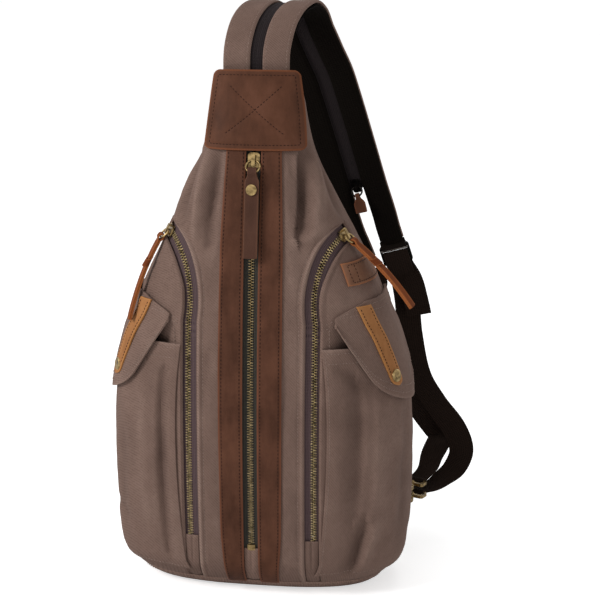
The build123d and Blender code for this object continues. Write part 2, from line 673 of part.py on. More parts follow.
def snap_hook():
    half = HOOK_LOOP_LENGTH / 2
    pin_start, pin_end = half - HOOK_BAR - 0.3, half + 1.3
    shape = Pos((pin_start + pin_end) / 2, 0, 0) * Rot(0, 90, 0) * Cylinder(SWIVEL_PIN, pin_end - pin_start + 1)
    shape += Pos(pin_start - 0.5, 0, 0) * Rot(0, 90, 0) * Cylinder(SWIVEL_PIN + 1, 1.2)
    shape += Pos(pin_end + HOOK_COLLAR / 2, 0, 0) * Rot(0, 90, 0) * Cylinder(SWIVEL_PIN + 1.2, HOOK_COLLAR)
    ring, wedge = annulus_sector(HOOK_INNER, HOOK_OUTER, GATE_FROM, GATE_TO, HOOK_THICKNESS)
    return shape + Pos(HOOK_CENTRE, 0, 0) * (ring - wedge)


def gate():
    ring, wedge = annulus_sector(HOOK_INNER + 0.2, HOOK_OUTER - 0.4, GATE_FROM + GATE_TOE, GATE_TO - GATE_HEEL, HOOK_THICKNESS - 1)
    return Pos(HOOK_CENTRE, 0, 0) * (ring & wedge)


# ---- webbing ------------------------------------------------------------------------------------
def webbing(points, tail_points, middle, level):
    """Flat strand from the buckle's middle bar to its hook's loop, with the spare tail outside."""
    point, across, up, out = middle
    shift = BAR_EYE + LOOP_WALL / 2
    hook = hook_plane(level)
    bar = hook.origin - hook.x_dir * (HOOK_LOOP_LENGTH - HOOK_BAR) / 2
    start = point - out * shift
    strand = [start, start - up * 14] + [Vector(*p) for p in points] + [bar - hook.x_dir * 6, bar - hook.x_dir * 2.6]
    route = knots(strand)
    total = route[-1][0]
    facing = [(0, out), (total * .3, out), (total * .55, Vector(.1, .97, -.1)), (total * .78, Vector(0, .75, -.6)),
              (total * .93, Vector(0, .2, -1)), (total, Z * -1)]
    frames = [frame_at(route, t, lambda _: curve_value(facing, t)) for t in steps(46, 0, total)]
    widths = [(0, WEBBING_WIDTH), (total * .8, WEBBING_WIDTH), (total * .96, WEBBING_END_WIDTH), (total, WEBBING_END_WIDTH)]
    halves = [curve_value(widths, t) / 2 for t in steps(46, 0, total)]
    shape = band(frames, [(-h, h) for h in halves], -LOOP_WALL / 2, LOOP_WALL / 2)
    tail = knots([point + out * shift, point + out * shift - up * 14] + [Vector(*p) for p in tail_points])
    tail_frames = [frame_at(tail, t, lambda _: out) for t in steps(12, 0, tail[-1][0])]
    shape += band(tail_frames, [(-WEBBING_WIDTH / 2, WEBBING_WIDTH / 2)] * 12, -LOOP_WALL / 2, LOOP_WALL / 2)
    tube = Rot(0, 90, 0) * (Cylinder(BAR_EYE + LOOP_WALL, WEBBING_WIDTH) - Cylinder(BAR_EYE, WEBBING_WIDTH + 2))
    shape += Plane(point, x_dir=across, z_dir=out).location * tube
    hook_eye = HOOK_BAR / 2 * sqrt(2) + LOOP_PLAY
    ring = Rot(90, 0, 0) * (Cylinder(hook_eye + LOOP_WALL, WEBBING_END_WIDTH) - Cylinder(hook_eye, WEBBING_END_WIDTH + 2))
    shape += Plane(bar, x_dir=hook.x_dir, z_dir=Z).location * ring
    shape -= Plane(bar, x_dir=hook.x_dir, z_dir=Z).location * Rot(90, 0, 0) * Cylinder(hook_eye, WEBBING_END_WIDTH + 2)
    return shape


def main():
    os.makedirs("parts", exist_ok=True)
    brass, steel, hide = (0.55, 0.45, 0.28), (0.2, 0.2, 0.2), (0.28, 0.17, 0.12)
    dark = (0.09, 0.08, 0.07)
    save("base_tray", base_tray(), colour=(0.38, 0.31, 0.28))
    for name, make, colour in (("front_panel", front_panel, (0.44, 0.36, 0.33)),
                               ("side_panel", side_panel, (0.46, 0.38, 0.35)),
                               ("shoulder_panel", shoulder_panel, (0.42, 0.34, 0.31)),
                               ("leather_strip", leather_strip, hide), ("pocket", pocket, (0.48, 0.4, 0.37)),
                               ("flap", flap, (0.52, 0.43, 0.4)), ("flap_strip", flap_strip, (0.5, 0.3, 0.18)),
                               ("snap_cap", snap_cap, brass)):
        right = make()
        save(name + "_right", right, colour=colour)
        save(name + "_left", mirrored(right), colour=colour)
    save("back_panel", back_panel(), colour=(0.35, 0.3, 0.28))
    pad = back_pad()
    save("back_pads", pad, mirrored(pad), colour=dark)
    socket = snap_socket()
    save("snap_sockets", socket, mirrored(socket), colour=brass)
    save("yoke_patch", yoke_patch(), colour=(0.36, 0.22, 0.16))
    save("side_tab", side_tab(), colour=hide)

    heights = steps(30, PANEL_LOW + 3, PATCH_LOW + 14)
    frames = [centre_frame(z) for z in heights]
    first = min(i for i, z in enumerate(heights) if z >= CENTRE_ZIP_LOW)
    last = max(i for i, z in enumerate(heights) if z <= CENTRE_ZIP_HIGH)
    tapes, chains = zip_bands(frames, CHAIN_WIDTH, CHAIN_THICKNESS, TAPE_WIDTH, TAPE_THICKNESS, (first, last + 1))
    save("centre_zip_tapes", *tapes, colour=(0.2, 0.17, 0.14))
    save("centre_zip_chain", *chains, colour=brass)
    seat = centre_frame(CENTRE_ZIP_HIGH)
    save("centre_slider", slider(seat, CHAIN_WIDTH, CHAIN_THICKNESS), colour=brass)
    hang = (seat[2] * -cos(radians(CENTRE_PULL_TILT)) + seat[3] * sin(radians(CENTRE_PULL_TILT)))
    plane, ring, leather, top = pull_parts(pull_pivot(seat, CHAIN_THICKNESS), X, hang, CENTRE_RING, CENTRE_PULL, 8,
                                           CENTRE_PULL_DROOP)
    thick = PULL_LEATHER / 2 + LAYER_GAP
    studs = [top * Pos(0, -12, side * (thick + 0.6)) * Cylinder(STUD_RADIUS, 1.2) for side in (-1, 1)]
    save_pull("centre_pull_metal", plane, [ring] + studs, "centre_pull_leather", leather)

    frames = [side_frame(t) for t in steps(16, 0.02, 0.94) + steps(16, 1, 2)]
    low_share = (SIDE_ZIP_LOW - PANEL_LOW) / (SIDE_ARC_START - PANEL_LOW)
    shares = steps(16, 0.02, 0.94) + steps(16, 1, 2)
    first = min(i for i, t in enumerate(shares) if t >= low_share)
    last = max(i for i, t in enumerate(shares) if t <= 1 + SIDE_SLIDER_SHARE - 0.06)
    tapes, chains = zip_bands(frames, CHAIN_WIDTH, CHAIN_THICKNESS, TAPE_WIDTH, TAPE_THICKNESS, (first, last + 1))
    seat = side_frame(1 + SIDE_SLIDER_SHARE)
    slide = slider(seat, CHAIN_WIDTH, CHAIN_THICKNESS, turned=True)
    for side, place, tilt, droop in (("left", mirrored, SIDE_LACE_TILT[0], SIDE_LACE_DROOP[0]),
                                     ("right", lambda s: s, SIDE_LACE_TILT[1], SIDE_LACE_DROOP[1])):
        save(f"{side}_zip_tapes", *[place(t) for t in tapes], colour=(0.3, 0.22, 0.2))
        save(f"{side}_zip_chain", *[place(c) for c in chains], colour=brass)
        save(f"{side}_slider", place(slide), colour=brass)
        down = (Z * -1 + seat[2] * Z.dot(seat[2])).normalized()
        side_out = down.cross(seat[2])
        side_out = side_out if side_out.dot(seat[3]) > 0 else side_out * -1
        hang = down * cos(radians(tilt)) + side_out * sin(radians(tilt))
        plane, ring, leather, _ = pull_parts(pull_pivot(seat, CHAIN_THICKNESS), seat[2], hang, SIDE_RING,
                                             SIDE_LACE, 5, droop)
        save(f"{side}_pull_ring", place(plane.location * ring), colour=brass)
        save(f"{side}_pull_lace", place(plane.location * leather), colour=(0.42, 0.24, 0.13))

    low = -0.3 - STRAP_TAPE / 2 + TAPE_MIDDLE
    high = TAPE_MIDDLE + STRAP_TAPE / 2 + LAYER_GAP
    names = ("outer", "inner")
    for name, side, route, end, level in zip(names, (1, -1), (OUTER_HALF_ROUTE, INNER_HALF_ROUTE), HALF_END, (-1, 1)):
        save(f"strap_face_{name}", strap_half(side, route, end, high, high + STRAP_FACE, 0))
        save(f"strap_pad_{name}", strap_half(side, route, end, low - STRAP_PAD, low, 0.5), colour=dark)
    frames = main_frames(40)
    tapes, chains = zip_bands([(p + o * TAPE_MIDDLE, a, f, o) for p, a, f, o in frames], STRAP_CHAIN_WIDTH,
                              STRAP_CHAIN_THICKNESS, STRAP_TAPE_WIDTH, STRAP_TAPE, (3, 39))
    save("strap_zip_tapes", *tapes, colour=dark)
    save("strap_zip_chain", *chains, colour=(0.12, 0.11, 0.1))
    seat = strap_seat()
    save("strap_slider", slider(seat, STRAP_CHAIN_WIDTH, STRAP_CHAIN_THICKNESS), colour=steel)
    hang = seat[2] * cos(radians(STRAP_PULL_TILT)) + seat[3] * sin(radians(STRAP_PULL_TILT))
    plane, ring, leather, low_end = pull_parts(pull_pivot(seat, STRAP_CHAIN_THICKNESS), seat[1] * -1, hang,
                                               STRAP_RING, STRAP_PULL, 4, STRAP_PULL_DROOP)
    save_pull("strap_pull_ring", plane, [ring], "strap_pull_tab", leather)

    tails = []
    eyes, loops = [], []
    for name, side, route, end, points, tail_points, level in (
            ("outer", 1, OUTER_HALF_ROUTE, HALF_END[0], OUTER_WEBBING, OUTER_TAIL, -1),
            ("inner", -1, INNER_HALF_ROUTE, HALF_END[1], INNER_WEBBING, INNER_TAIL, 1)):
        _, tail = half_frames(side, route, end)
        top, middle = buckle_frames(tail)
        save(f"{name}_buckle", buckle(middle), colour=steel)
        eyes.append(end_eye(top, BAR_EYE, LOOP_WALL, WEBBING_WIDTH, BAR_EYE + LOOP_WALL + 3 - LAYER_GAP))
        save(f"{name}_webbing", webbing(points, tail_points, middle, level), colour=dark)
        place = hook_plane(level).location
        loops.append(place * hook_loop())
        save(f"{name}_hook", place * snap_hook(), colour=brass)
        save(f"{name}_hook_gate", place * gate(), colour=brass)
    save("strap_end_loops", *eyes, colour=dark)
    save("hook_loops", *loops, colour=brass)
    ring = d_ring()
    save("right_d_ring", ring, colour=brass)
    save("left_d_ring", mirrored(ring), colour=brass)
    tab = ring_tab()
    save("d_ring_tabs", tab, mirrored(tab), colour=dark)


if __name__ == "__main__":
    main()
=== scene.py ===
# %% [markdown]
# # A canvas sling bag
# The solids of the bag come in as a fixed frame. Every visible piece is made around them here:
# canvas that folds, leather with cut edges, zips with real teeth, webbing, and aged brass.

# %% Load the frame
from functools import lru_cache
from math import cos, exp, pi, radians, sin, sqrt

import bpy
from mathutils import Matrix, Vector, noise


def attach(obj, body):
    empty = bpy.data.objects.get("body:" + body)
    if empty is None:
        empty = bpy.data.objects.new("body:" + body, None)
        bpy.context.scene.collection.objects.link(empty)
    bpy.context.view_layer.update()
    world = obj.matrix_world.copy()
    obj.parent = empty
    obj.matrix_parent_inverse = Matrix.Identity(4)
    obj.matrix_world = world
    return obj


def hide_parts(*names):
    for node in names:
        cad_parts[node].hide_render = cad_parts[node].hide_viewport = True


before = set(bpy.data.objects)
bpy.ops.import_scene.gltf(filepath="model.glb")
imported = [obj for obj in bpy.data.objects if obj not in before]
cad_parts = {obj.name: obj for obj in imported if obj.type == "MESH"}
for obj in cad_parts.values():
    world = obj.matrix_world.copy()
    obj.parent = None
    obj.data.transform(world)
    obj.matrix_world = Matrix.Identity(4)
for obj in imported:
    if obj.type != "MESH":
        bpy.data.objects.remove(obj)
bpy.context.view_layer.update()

MM = 0.001
X, Z = Vector((1, 0, 0)), Vector((0, 0, 1))

# %% [markdown]
# The camera stands 1.5 m off, a little to the right and a little above, with a long lens, as a
# catalogue picture is taken. A long lens keeps the sides of the bag from leaning.

# %% Camera
AZIMUTH, ELEVATION, DISTANCE = radians(8.7), radians(14), 1.5
SENSOR, SEEN_WIDTH = 36, 0.56     # mm on the sensor, and metres seen across at the bag
TARGET = Vector((0, 0, 0.262))
bpy.ops.object.camera_add()
camera = bpy.context.object
camera.name = "camera"
away = Vector((sin(AZIMUTH) * cos(ELEVATION), -cos(AZIMUTH) * cos(ELEVATION), sin(ELEVATION)))
camera.location = TARGET + away * DISTANCE
camera.rotation_euler = (-away).to_track_quat("-Z", "Y").to_euler()
camera.data.sensor_width = SENSOR
camera.data.lens = SENSOR * DISTANCE / SEEN_WIDTH
camera.data.shift_x = 0.0605
camera.data.shift_y = 0.0093
bpy.context.scene.camera = camera
print("lens", round(camera.data.lens, 1))

# %% [markdown]
# Colours are written as sRGB hex, as they are read off a swatch, and turned to linear light here.
# One small helper adds a node with its settings and links.

# %% Colour and node helpers
def linear(code):
    def channel(text):
        value = int(text, 16) / 255
        return value / 12.92 if value <= 0.04045 else ((value + 0.055) / 1.055) ** 2.4
    return (channel(code[1:3]), channel(code[3:5]), channel(code[5:7]), 1.0)


def feed(tree, node, inputs):
    """Gives a node's inputs their values or links."""
    for key, value in inputs.items():
        if isinstance(value, bpy.types.NodeSocket):
            tree.links.new(value, node.inputs[key])
        else:
            node.inputs[key].default_value = value


def add_node(tree, kind, inputs=None, stops=(), **settings):
    """Adds a shader node with its settings and inputs; stops are a colour ramp's (position, hex)."""
    new = tree.nodes.new("ShaderNode" + kind)
    for key, value in settings.items():
        setattr(new, key, value)
    feed(tree, new, inputs or {})
    for _ in stops[2:]:
        new.color_ramp.elements.new(0.5)
    for element, (position, code) in zip(new.color_ramp.elements if stops else (), stops):
        element.position = position
        element.color = linear(code)
    return new


def start_material(name, roughness, metallic=0.0, sheen=0.0, specular=0.5):
    material = bpy.data.materials.new(name)
    material.use_nodes = True
    tree = material.node_tree
    shader = tree.nodes["Principled BSDF"]
    feed(tree, shader, {"Roughness": roughness, "Metallic": metallic, "Sheen Weight": sheen,
                        "Specular IOR Level": specular})
    return material, tree, shader


print("a mid grey is", round(linear("#808080")[0], 3), "in linear light")

# %% [markdown]
# Waxed cotton canvas is a thick, dull twill. Its threads run diagonally and are slightly uneven, it
# is paler where it is rubbed on edges, and its colour follows its folds: paler on their crests, partly
# wear and partly painted highlight, and darker in their hollows, which is painted shade. A tiled
# picture of cloth would do, but it stretches and repeats; wave textures on object coordinates do
# neither. The attribute that each cloth piece carries holds this wear and painted shade, from -1 in a
# hollow to 1 on an edge. The real threads are about 0.9 mm apart; they are drawn at 1.9 mm so that
# they show at this distance.

# %% Canvas
TWILL_SCALE, WEFT_SCALE = 233.0, 330.0     # diagonal bands 1.9 mm and 1.35 mm apart on an upright face


def canvas_material(name, dark, middle, light):
    material, tree, shader = start_material(name, 0.95, sheen=0.03, specular=0.06)
    place = add_node(tree, "TexCoord").outputs["Object"]
    twill = add_node(tree, "TexWave", {"Vector": place, "Scale": TWILL_SCALE, "Distortion": 1.2,
                                       "Detail": 2.0, "Detail Scale": 2.0},
                     wave_type="BANDS", bands_direction="DIAGONAL")
    turned = add_node(tree, "Mapping", {"Vector": place, "Scale": (-1, -1, 1)})
    weft = add_node(tree, "TexWave", {"Vector": turned.outputs[0], "Scale": WEFT_SCALE, "Distortion": 1.5,
                                      "Detail": 2.0}, wave_type="BANDS", bands_direction="DIAGONAL")
    slub = add_node(tree, "TexNoise", {"Vector": place, "Scale": 420.0, "Detail": 3.0})
    cloud = add_node(tree, "TexNoise", {"Vector": place, "Scale": 22.0, "Detail": 4.0, "Roughness": 0.6})
    # Wear and painted shade: the attribute lightens worn edges and fold crests, and darkens fold hollows,
    # which is painted shade.
    wear_and_shade = add_node(tree, "Attribute", attribute_name="wear_and_shade")
    tone = add_node(tree, "Math", {0: cloud.outputs["Fac"], 1: 0.55, 2: 0.2}, operation="MULTIPLY_ADD")
    tone = add_node(tree, "Math", {0: wear_and_shade.outputs["Fac"], 1: 0.3, 2: tone.outputs[0]},
                    operation="MULTIPLY_ADD")
    colour = add_node(tree, "ValToRGB", {0: tone.outputs[0]}, [(0.0, dark), (0.5, middle), (1.0, light)])
    threads = add_node(tree, "Math", {0: twill.outputs["Fac"], 1: 0.6, 2: slub.outputs["Fac"]},
                       operation="MULTIPLY_ADD")
    threads = add_node(tree, "Math", {0: weft.outputs["Fac"], 1: 0.25, 2: threads.outputs[0]},
                       operation="MULTIPLY_ADD")
    shade = add_node(tree, "ValToRGB", {0: threads.outputs[0]}, [(0.2, "#a8a3a0"), (1.0, "#ffffff")])
    cloth_colour = add_node(tree, "Mix", {0: 0.7, 6: colour.outputs[0], 7: shade.outputs[0]},
                            data_type="RGBA", blend_type="MULTIPLY")
    bump = add_node(tree, "Bump", {"Height": threads.outputs[0], "Strength": 0.35, "Distance": 0.0006})
    feed(tree, shader, {"Base Color": cloth_colour.outputs[2], "Normal": bump.outputs[0]})
    return material


CANVAS_CLOTH = canvas_material("taupe_cotton_canvas", "#54423b", "#7d665c", "#9f877b")
BASE_CLOTH = canvas_material("taupe_canvas_binding", "#65504a", "#91776b", "#b0978b")
LOOP_CLOTH = canvas_material("black_webbing_loops", "#0e0b08", "#1d1713", "#2a201b")
print("cloths:", CANVAS_CLOTH.name, BASE_CLOTH.name, LOOP_CLOTH.name)


# %% [markdown]
# Oiled pull-up leather has a fine irregular grain, cloudy colour from the wax, pale scuffs where it
# bends, and raw cut edges that are lighter and fuzzier than its face. A scanned hide would bring its
# own marks; Voronoi cells of a pore's real size and a soft noise look the same and carry none.

# %% Leather
PORE_SIZE = 1.3     # mm


def leather_material(name, dark, middle, light, edge, roughness=0.55):
    material, tree, shader = start_material(name, roughness, specular=0.06)
    place = add_node(tree, "TexCoord").outputs["Object"]
    pores = add_node(tree, "TexVoronoi", {"Vector": place, "Scale": 1000 / PORE_SIZE}, feature="F1")
    cloud = add_node(tree, "TexNoise", {"Vector": place, "Scale": 28.0, "Detail": 5.0, "Roughness": 0.62})
    drawn_out = add_node(tree, "Mapping", {"Vector": place, "Scale": (1, 1, 0.25)})
    streak = add_node(tree, "TexNoise", {"Vector": drawn_out.outputs[0], "Scale": 160.0, "Detail": 4.0})
    wear_and_shade = add_node(tree, "Attribute", attribute_name="wear_and_shade")
    tone = add_node(tree, "Math", {0: streak.outputs["Fac"], 1: 0.35, 2: -0.08}, operation="MULTIPLY_ADD")
    tone = add_node(tree, "Math", {0: cloud.outputs["Fac"], 1: 0.75, 2: tone.outputs[0]},
                    operation="MULTIPLY_ADD")
    colour = add_node(tree, "ValToRGB", {0: tone.outputs[0]}, [(0.2, dark), (0.5, middle), (0.85, light)])
    wear_shade_amount = add_node(tree, "Math", {0: wear_and_shade.outputs["Fac"], 1: 0.0}, operation="MAXIMUM")
    colour = add_node(tree, "Mix", {0: wear_shade_amount.outputs[0], 6: colour.outputs[0], 7: linear(edge)},
                      data_type="RGBA", blend_type="MIX")
    height = add_node(tree, "Math", {0: pores.outputs["Distance"], 1: 0.6, 2: streak.outputs["Fac"]},
                      operation="MULTIPLY_ADD")
    bump = add_node(tree, "Bump", {"Height": height.outputs[0], "Strength": 0.3, "Distance": 0.0005})
    gloss = add_node(tree, "Math", {0: cloud.outputs["Fac"], 1: 0.3, 2: roughness - 0.15},
                     operation="MULTIPLY_ADD")
    feed(tree, shader, {"Base Color": colour.outputs[2], "Roughness": gloss.outputs[0],
                        "Normal": bump.outputs[0]})
    return material


BROWN_LEATHER = leather_material("oiled_brown_leather", "#3c251b", "#5a3a2c", "#714a38", "#7c4c37")
PATCH_LEATHER = leather_material("oiled_patch_leather", "#42291e", "#5c3b2c", "#714b3b", "#7a4930")
TAB_LEATHER = leather_material("oiled_tab_leather", "#563a2b", "#775441", "#936c57", "#9f6744")
TAN_LEATHER = leather_material("waxed_tan_leather", "#80532f", "#a67247", "#bf8c5d", "#b8804b", 0.6)
LACE_LEATHER = leather_material("waxed_russet_leather", "#4c2412", "#70381c", "#8a4b28", "#9a5a32", 0.6)
print("leathers:", [m.name for m in bpy.data.materials if "leather" in m.name])
PULL_LEATHER = leather_material("oiled_dark_leather", "#33221b", "#4b3229", "#5c4034", "#684838")


# %% [markdown]
# The webbing, the zip tapes and the padded mesh are woven from coarse dark yarn. Each carries its
# own length along the u of its UV map, in metres, so that the weave follows the strap as it bends.
# Object coordinates would cut across a band that twists.

# %% Webbing, tape and mesh
WAVE_PERIOD = 0.314     # metres from band to band in a wave texture of scale 1
YARN_PITCH = 1.4        # from yarn to yarn, as a share of the way from rib to rib


def woven_material(name, dark, light, pitch, roughness=0.85):
    """pitch: millimetres from rib to rib."""
    material, tree, shader = start_material(name, roughness, specular=0.04)
    place = add_node(tree, "UVMap").outputs[0]
    scale = WAVE_PERIOD / (pitch * MM)
    rib = add_node(tree, "TexWave", {"Vector": place, "Scale": scale, "Distortion": 0.6, "Detail": 1.0},
                   wave_type="BANDS", bands_direction="X")
    yarn = add_node(tree, "TexWave", {"Vector": place, "Scale": scale / YARN_PITCH, "Distortion": 0.5},
                    wave_type="BANDS", bands_direction="Y")
    fuzz = add_node(tree, "TexNoise", {"Vector": place, "Scale": 900.0, "Detail": 3.0})
    height = add_node(tree, "Math", {0: rib.outputs["Fac"], 1: yarn.outputs["Fac"]}, operation="ADD")
    height = add_node(tree, "Math", {0: fuzz.outputs["Fac"], 1: 0.6, 2: height.outputs[0]},
                      operation="MULTIPLY_ADD")
    colour = add_node(tree, "ValToRGB", {0: height.outputs[0]}, [(0.3, dark), (1.0, light)])
    bump = add_node(tree, "Bump", {"Height": height.outputs[0], "Strength": 0.5, "Distance": 0.0004})
    feed(tree, shader, {"Base Color": colour.outputs[0], "Normal": bump.outputs[0]})
    return material


WEBBING_CLOTH = woven_material("black_cotton_webbing", "#0e0b08", "#2a201b", 1.6)
ZIP_TAPE_CLOTH = woven_material("taupe_zip_tape", "#3a2f32", "#604f50", 1.2)
DARK_TAPE_CLOTH = woven_material("olive_zip_tape", "#23211d", "#474540", 1.2)
STRAP_TAPE_CLOTH = woven_material("black_zip_tape", "#141011", "#302a2b", 1.2)
MESH_CLOTH = woven_material("black_spacer_mesh", "#050403", "#14100d", 1.9, roughness=0.95)
print("woven goods:", [m.name for m in
                       (WEBBING_CLOTH, ZIP_TAPE_CLOTH, DARK_TAPE_CLOTH, STRAP_TAPE_CLOTH, MESH_CLOTH)])


# %% [markdown]
# Antique brass is brass plate that is darkened and then rubbed bright where hands touch it. One flat
# colour would look like plastic, so a noise mixes the dark tone and the rubbed one. The strap's
# buckles are of steel, plated nearly black. Thread is twisted, with little shine; the coil of the
# strap's zip is black nylon.

# %% Metal and thread
def plated_metal(name, dark, bright, roughness):
    material, tree, shader = start_material(name, roughness, metallic=1.0)
    place = add_node(tree, "TexCoord").outputs["Object"]
    cloud = add_node(tree, "TexNoise", {"Vector": place, "Scale": 260.0, "Detail": 4.0}).outputs["Fac"]
    colour = add_node(tree, "ValToRGB", {0: cloud}, [(0.3, dark), (0.65, bright)])
    rough = add_node(tree, "Math", {0: cloud, 1: 0.25, 2: roughness - 0.12}, operation="MULTIPLY_ADD")
    bump = add_node(tree, "Bump", {"Height": cloud, "Strength": 0.08, "Distance": 0.0004})
    feed(tree, shader, {"Base Color": colour.outputs[0], "Roughness": rough.outputs[0],
                        "Normal": bump.outputs[0]})
    return material


def thread_material(name, dark, light):
    material, tree, shader = start_material(name, 0.75, specular=0.15)
    place = add_node(tree, "TexCoord").outputs["Object"]
    twist = add_node(tree, "TexNoise", {"Vector": place, "Scale": 900.0, "Detail": 2.0})
    colour = add_node(tree, "ValToRGB", {0: twist.outputs["Fac"]}, [(0.3, dark), (0.7, light)])
    feed(tree, shader, {"Base Color": colour.outputs[0]})
    return material


BRASS = plated_metal("antique_brass_plate", "#5a4a31", "#b49a6a", 0.36)
TOOTH_BRASS = plated_metal("worn_brass_teeth", "#544730", "#b09c74", 0.34)
BLACK_METAL = plated_metal("blackened_steel", "#0e0d0c", "#24211f", 0.5)
BRIGHT_METAL = plated_metal("nickel_plate", "#8c8a86", "#c9c7c3", 0.3)
CANVAS_THREAD = thread_material("taupe_polyester_thread", "#6f5d54", "#9a8479")
LEATHER_THREAD = thread_material("brown_waxed_thread", "#1c0f0a", "#33190f")
COIL_NYLON = thread_material("black_nylon_coil", "#100d0d", "#2b2525")
print("materials:", len(bpy.data.materials))

# %% [markdown]
# The bag's outer face is known by formula: an egg-shaped outline from the front, an arc from the
# side and a rounded square from above. A sculpted shell would do too, but each piece would then have
# to be fitted to it by hand. Here every cloth piece is a grid whose points are laid on the formula,
# so these few functions, in millimetres, are shared by all of them.

# %% The body's outer face
BODY_WIDTH, BODY_HEIGHT, BASE_DEPTH = 276.0, 480.0, 136.0
FRONT_REACH, FRONT_RADIUS, FRONT_CREST = 83.3, 1100.0, 172.7
BASE_CURL, BASE_CURL_HEIGHT, FRONT_POWER, BACK_POWER = 27.0, 38.0, 2.7, 3.2
WIDTH_OUTLINE = [(0, .935), (.104, .986), (.229, 1), (.344, .993), (.437, .957), (.521, .88),
                 (.604, .783), (.6875, .645), (.771, .5), (.854, .372), (.927, .312), (1, .284)]
BACK_OUTLINE = [(0, 1), (.417, 1), (.542, .88), (.667, .647), (.771, .353), (.854, .09), (.927, -.118),
                (1, -.265)]
MIDDLE_OUTLINE = [(0, 0), (.417, 0), (.625, -12), (.833, -28), (1, -29)]


def mix(a, b, share):
    return a + (b - a) * share


def smooth(low, high, value):
    share = min(max((value - low) / (high - low), 0), 1)
    return share * share * (3 - 2 * share)


def curve_value(knots, t):
    """Smooth value at t through (t, value) knots."""
    t = min(max(t, knots[0][0]), knots[-1][0])
    last = len(knots) - 1
    i = max(j for j in range(last) if knots[j][0] <= t)
    (t0, v0), (t1, v1) = knots[i], knots[i + 1]
    span = t1 - t0

    def slope(j):
        low, high = max(j - 1, 0), min(j + 1, last)
        return (knots[high][1] - knots[low][1]) * (1 / (knots[high][0] - knots[low][0]))

    s = (t - t0) / span
    return (v0 * (2 * s**3 - 3 * s**2 + 1) + slope(i) * (span * (s**3 - 2 * s**2 + s))
            + v1 * (3 * s**2 - 2 * s**3) + slope(i + 1) * (span * (s**3 - s**2)))


@lru_cache(maxsize=20000)
def section(z):
    share = z / BODY_HEIGHT
    curl = BASE_CURL * (1 - min(z / BASE_CURL_HEIGHT, 1)) ** 2
    half = BODY_WIDTH / 2 * curve_value(WIDTH_OUTLINE, share) - curl
    front = FRONT_RADIUS - FRONT_REACH - sqrt(FRONT_RADIUS**2 - (z - FRONT_CREST)**2) + curl
    back = BASE_DEPTH / 2 * curve_value(BACK_OUTLINE, share) - curl
    return half, front, back, curve_value(MIDDLE_OUTLINE, share)


def wall(angle, z):
    half, front, back, middle = section(z)
    c, s = cos(angle), sin(angle)
    reach, power = (middle - front, FRONT_POWER) if s < 0 else (back - middle, BACK_POWER)
    radius = ((abs(c) / half)**power + (abs(s) / reach)**power) ** (-1 / power)
    return Vector((radius * c, middle + radius * s, z))


@lru_cache(maxsize=200000)
def wall_normal(angle, z):
    step = 0.002
    across = wall(angle + step, z) - wall(angle - step, z)
    up = wall(angle, z + 0.5) - wall(angle, z - 0.5)
    return across.cross(up).normalized()


def skin(angle, z, depth=0.0):
    return wall(angle, z) + wall_normal(angle, z) * depth


@lru_cache(maxsize=20000)
def angle_at(x, z):
    low, high = -pi / 2, 0.0
    for _ in range(26):
        middle = (low + high) / 2
        low, high = (middle, high) if wall(middle, z).x < x else (low, middle)
    return low


print("body reaches", [round(v) for v in wall(0.0, 120.0)], "mm at its widest")

# %% [markdown]
# A filled canvas bag is never smooth. Long soft folds hang from the leather yoke and from the side
# zips, and the cloth is drawn in at every seam. A cloth simulation makes folds as well, but other
# ones on each piece; with one shared rule the canvas, the leather on it and the stitches agree. Each
# fold runs between two places on the body, given as an angle round it in degrees (-90 is the middle
# of the front) and a height.

# %% Folds in the canvas
SIDE_ZIP_X, SIDE_ARC_START, SIDE_ARC_RISE, SIDE_ARC_END = 57.8, 265.0, 76.5, radians(-10)
SIDE_TAPE_INNER, SIDE_TAPE_OUTER, SIDE_TAPE_DEPTH = 8.5, 6.3, 3.8
PANEL_LOW, BACK_SEAM, CENTRE_CHANNEL = 12.5, radians(22), 7.2


@lru_cache(maxsize=5000)
def zip_line(t, offset=0.0):
    x = SIDE_ZIP_X + offset
    if t <= 1:
        z = mix(PANEL_LOW, SIDE_ARC_START, t)
        return angle_at(x, z), z
    turn = (t - 1) * pi / 2
    start = angle_at(x, SIDE_ARC_START)
    z = SIDE_ARC_START + (SIDE_ARC_RISE - offset) * sin(turn)
    return SIDE_ARC_END + (start - SIDE_ARC_END) * cos(turn), z


ZIP_TRACK = [wall(*zip_line(i / 20)) for i in range(41)]


@lru_cache(maxsize=200000)
def zip_distance(angle, z):
    point = wall(angle, z)
    return min((point - mark).length for mark in ZIP_TRACK if abs(mark.z - z) < 60) if z < 400 else 60.0


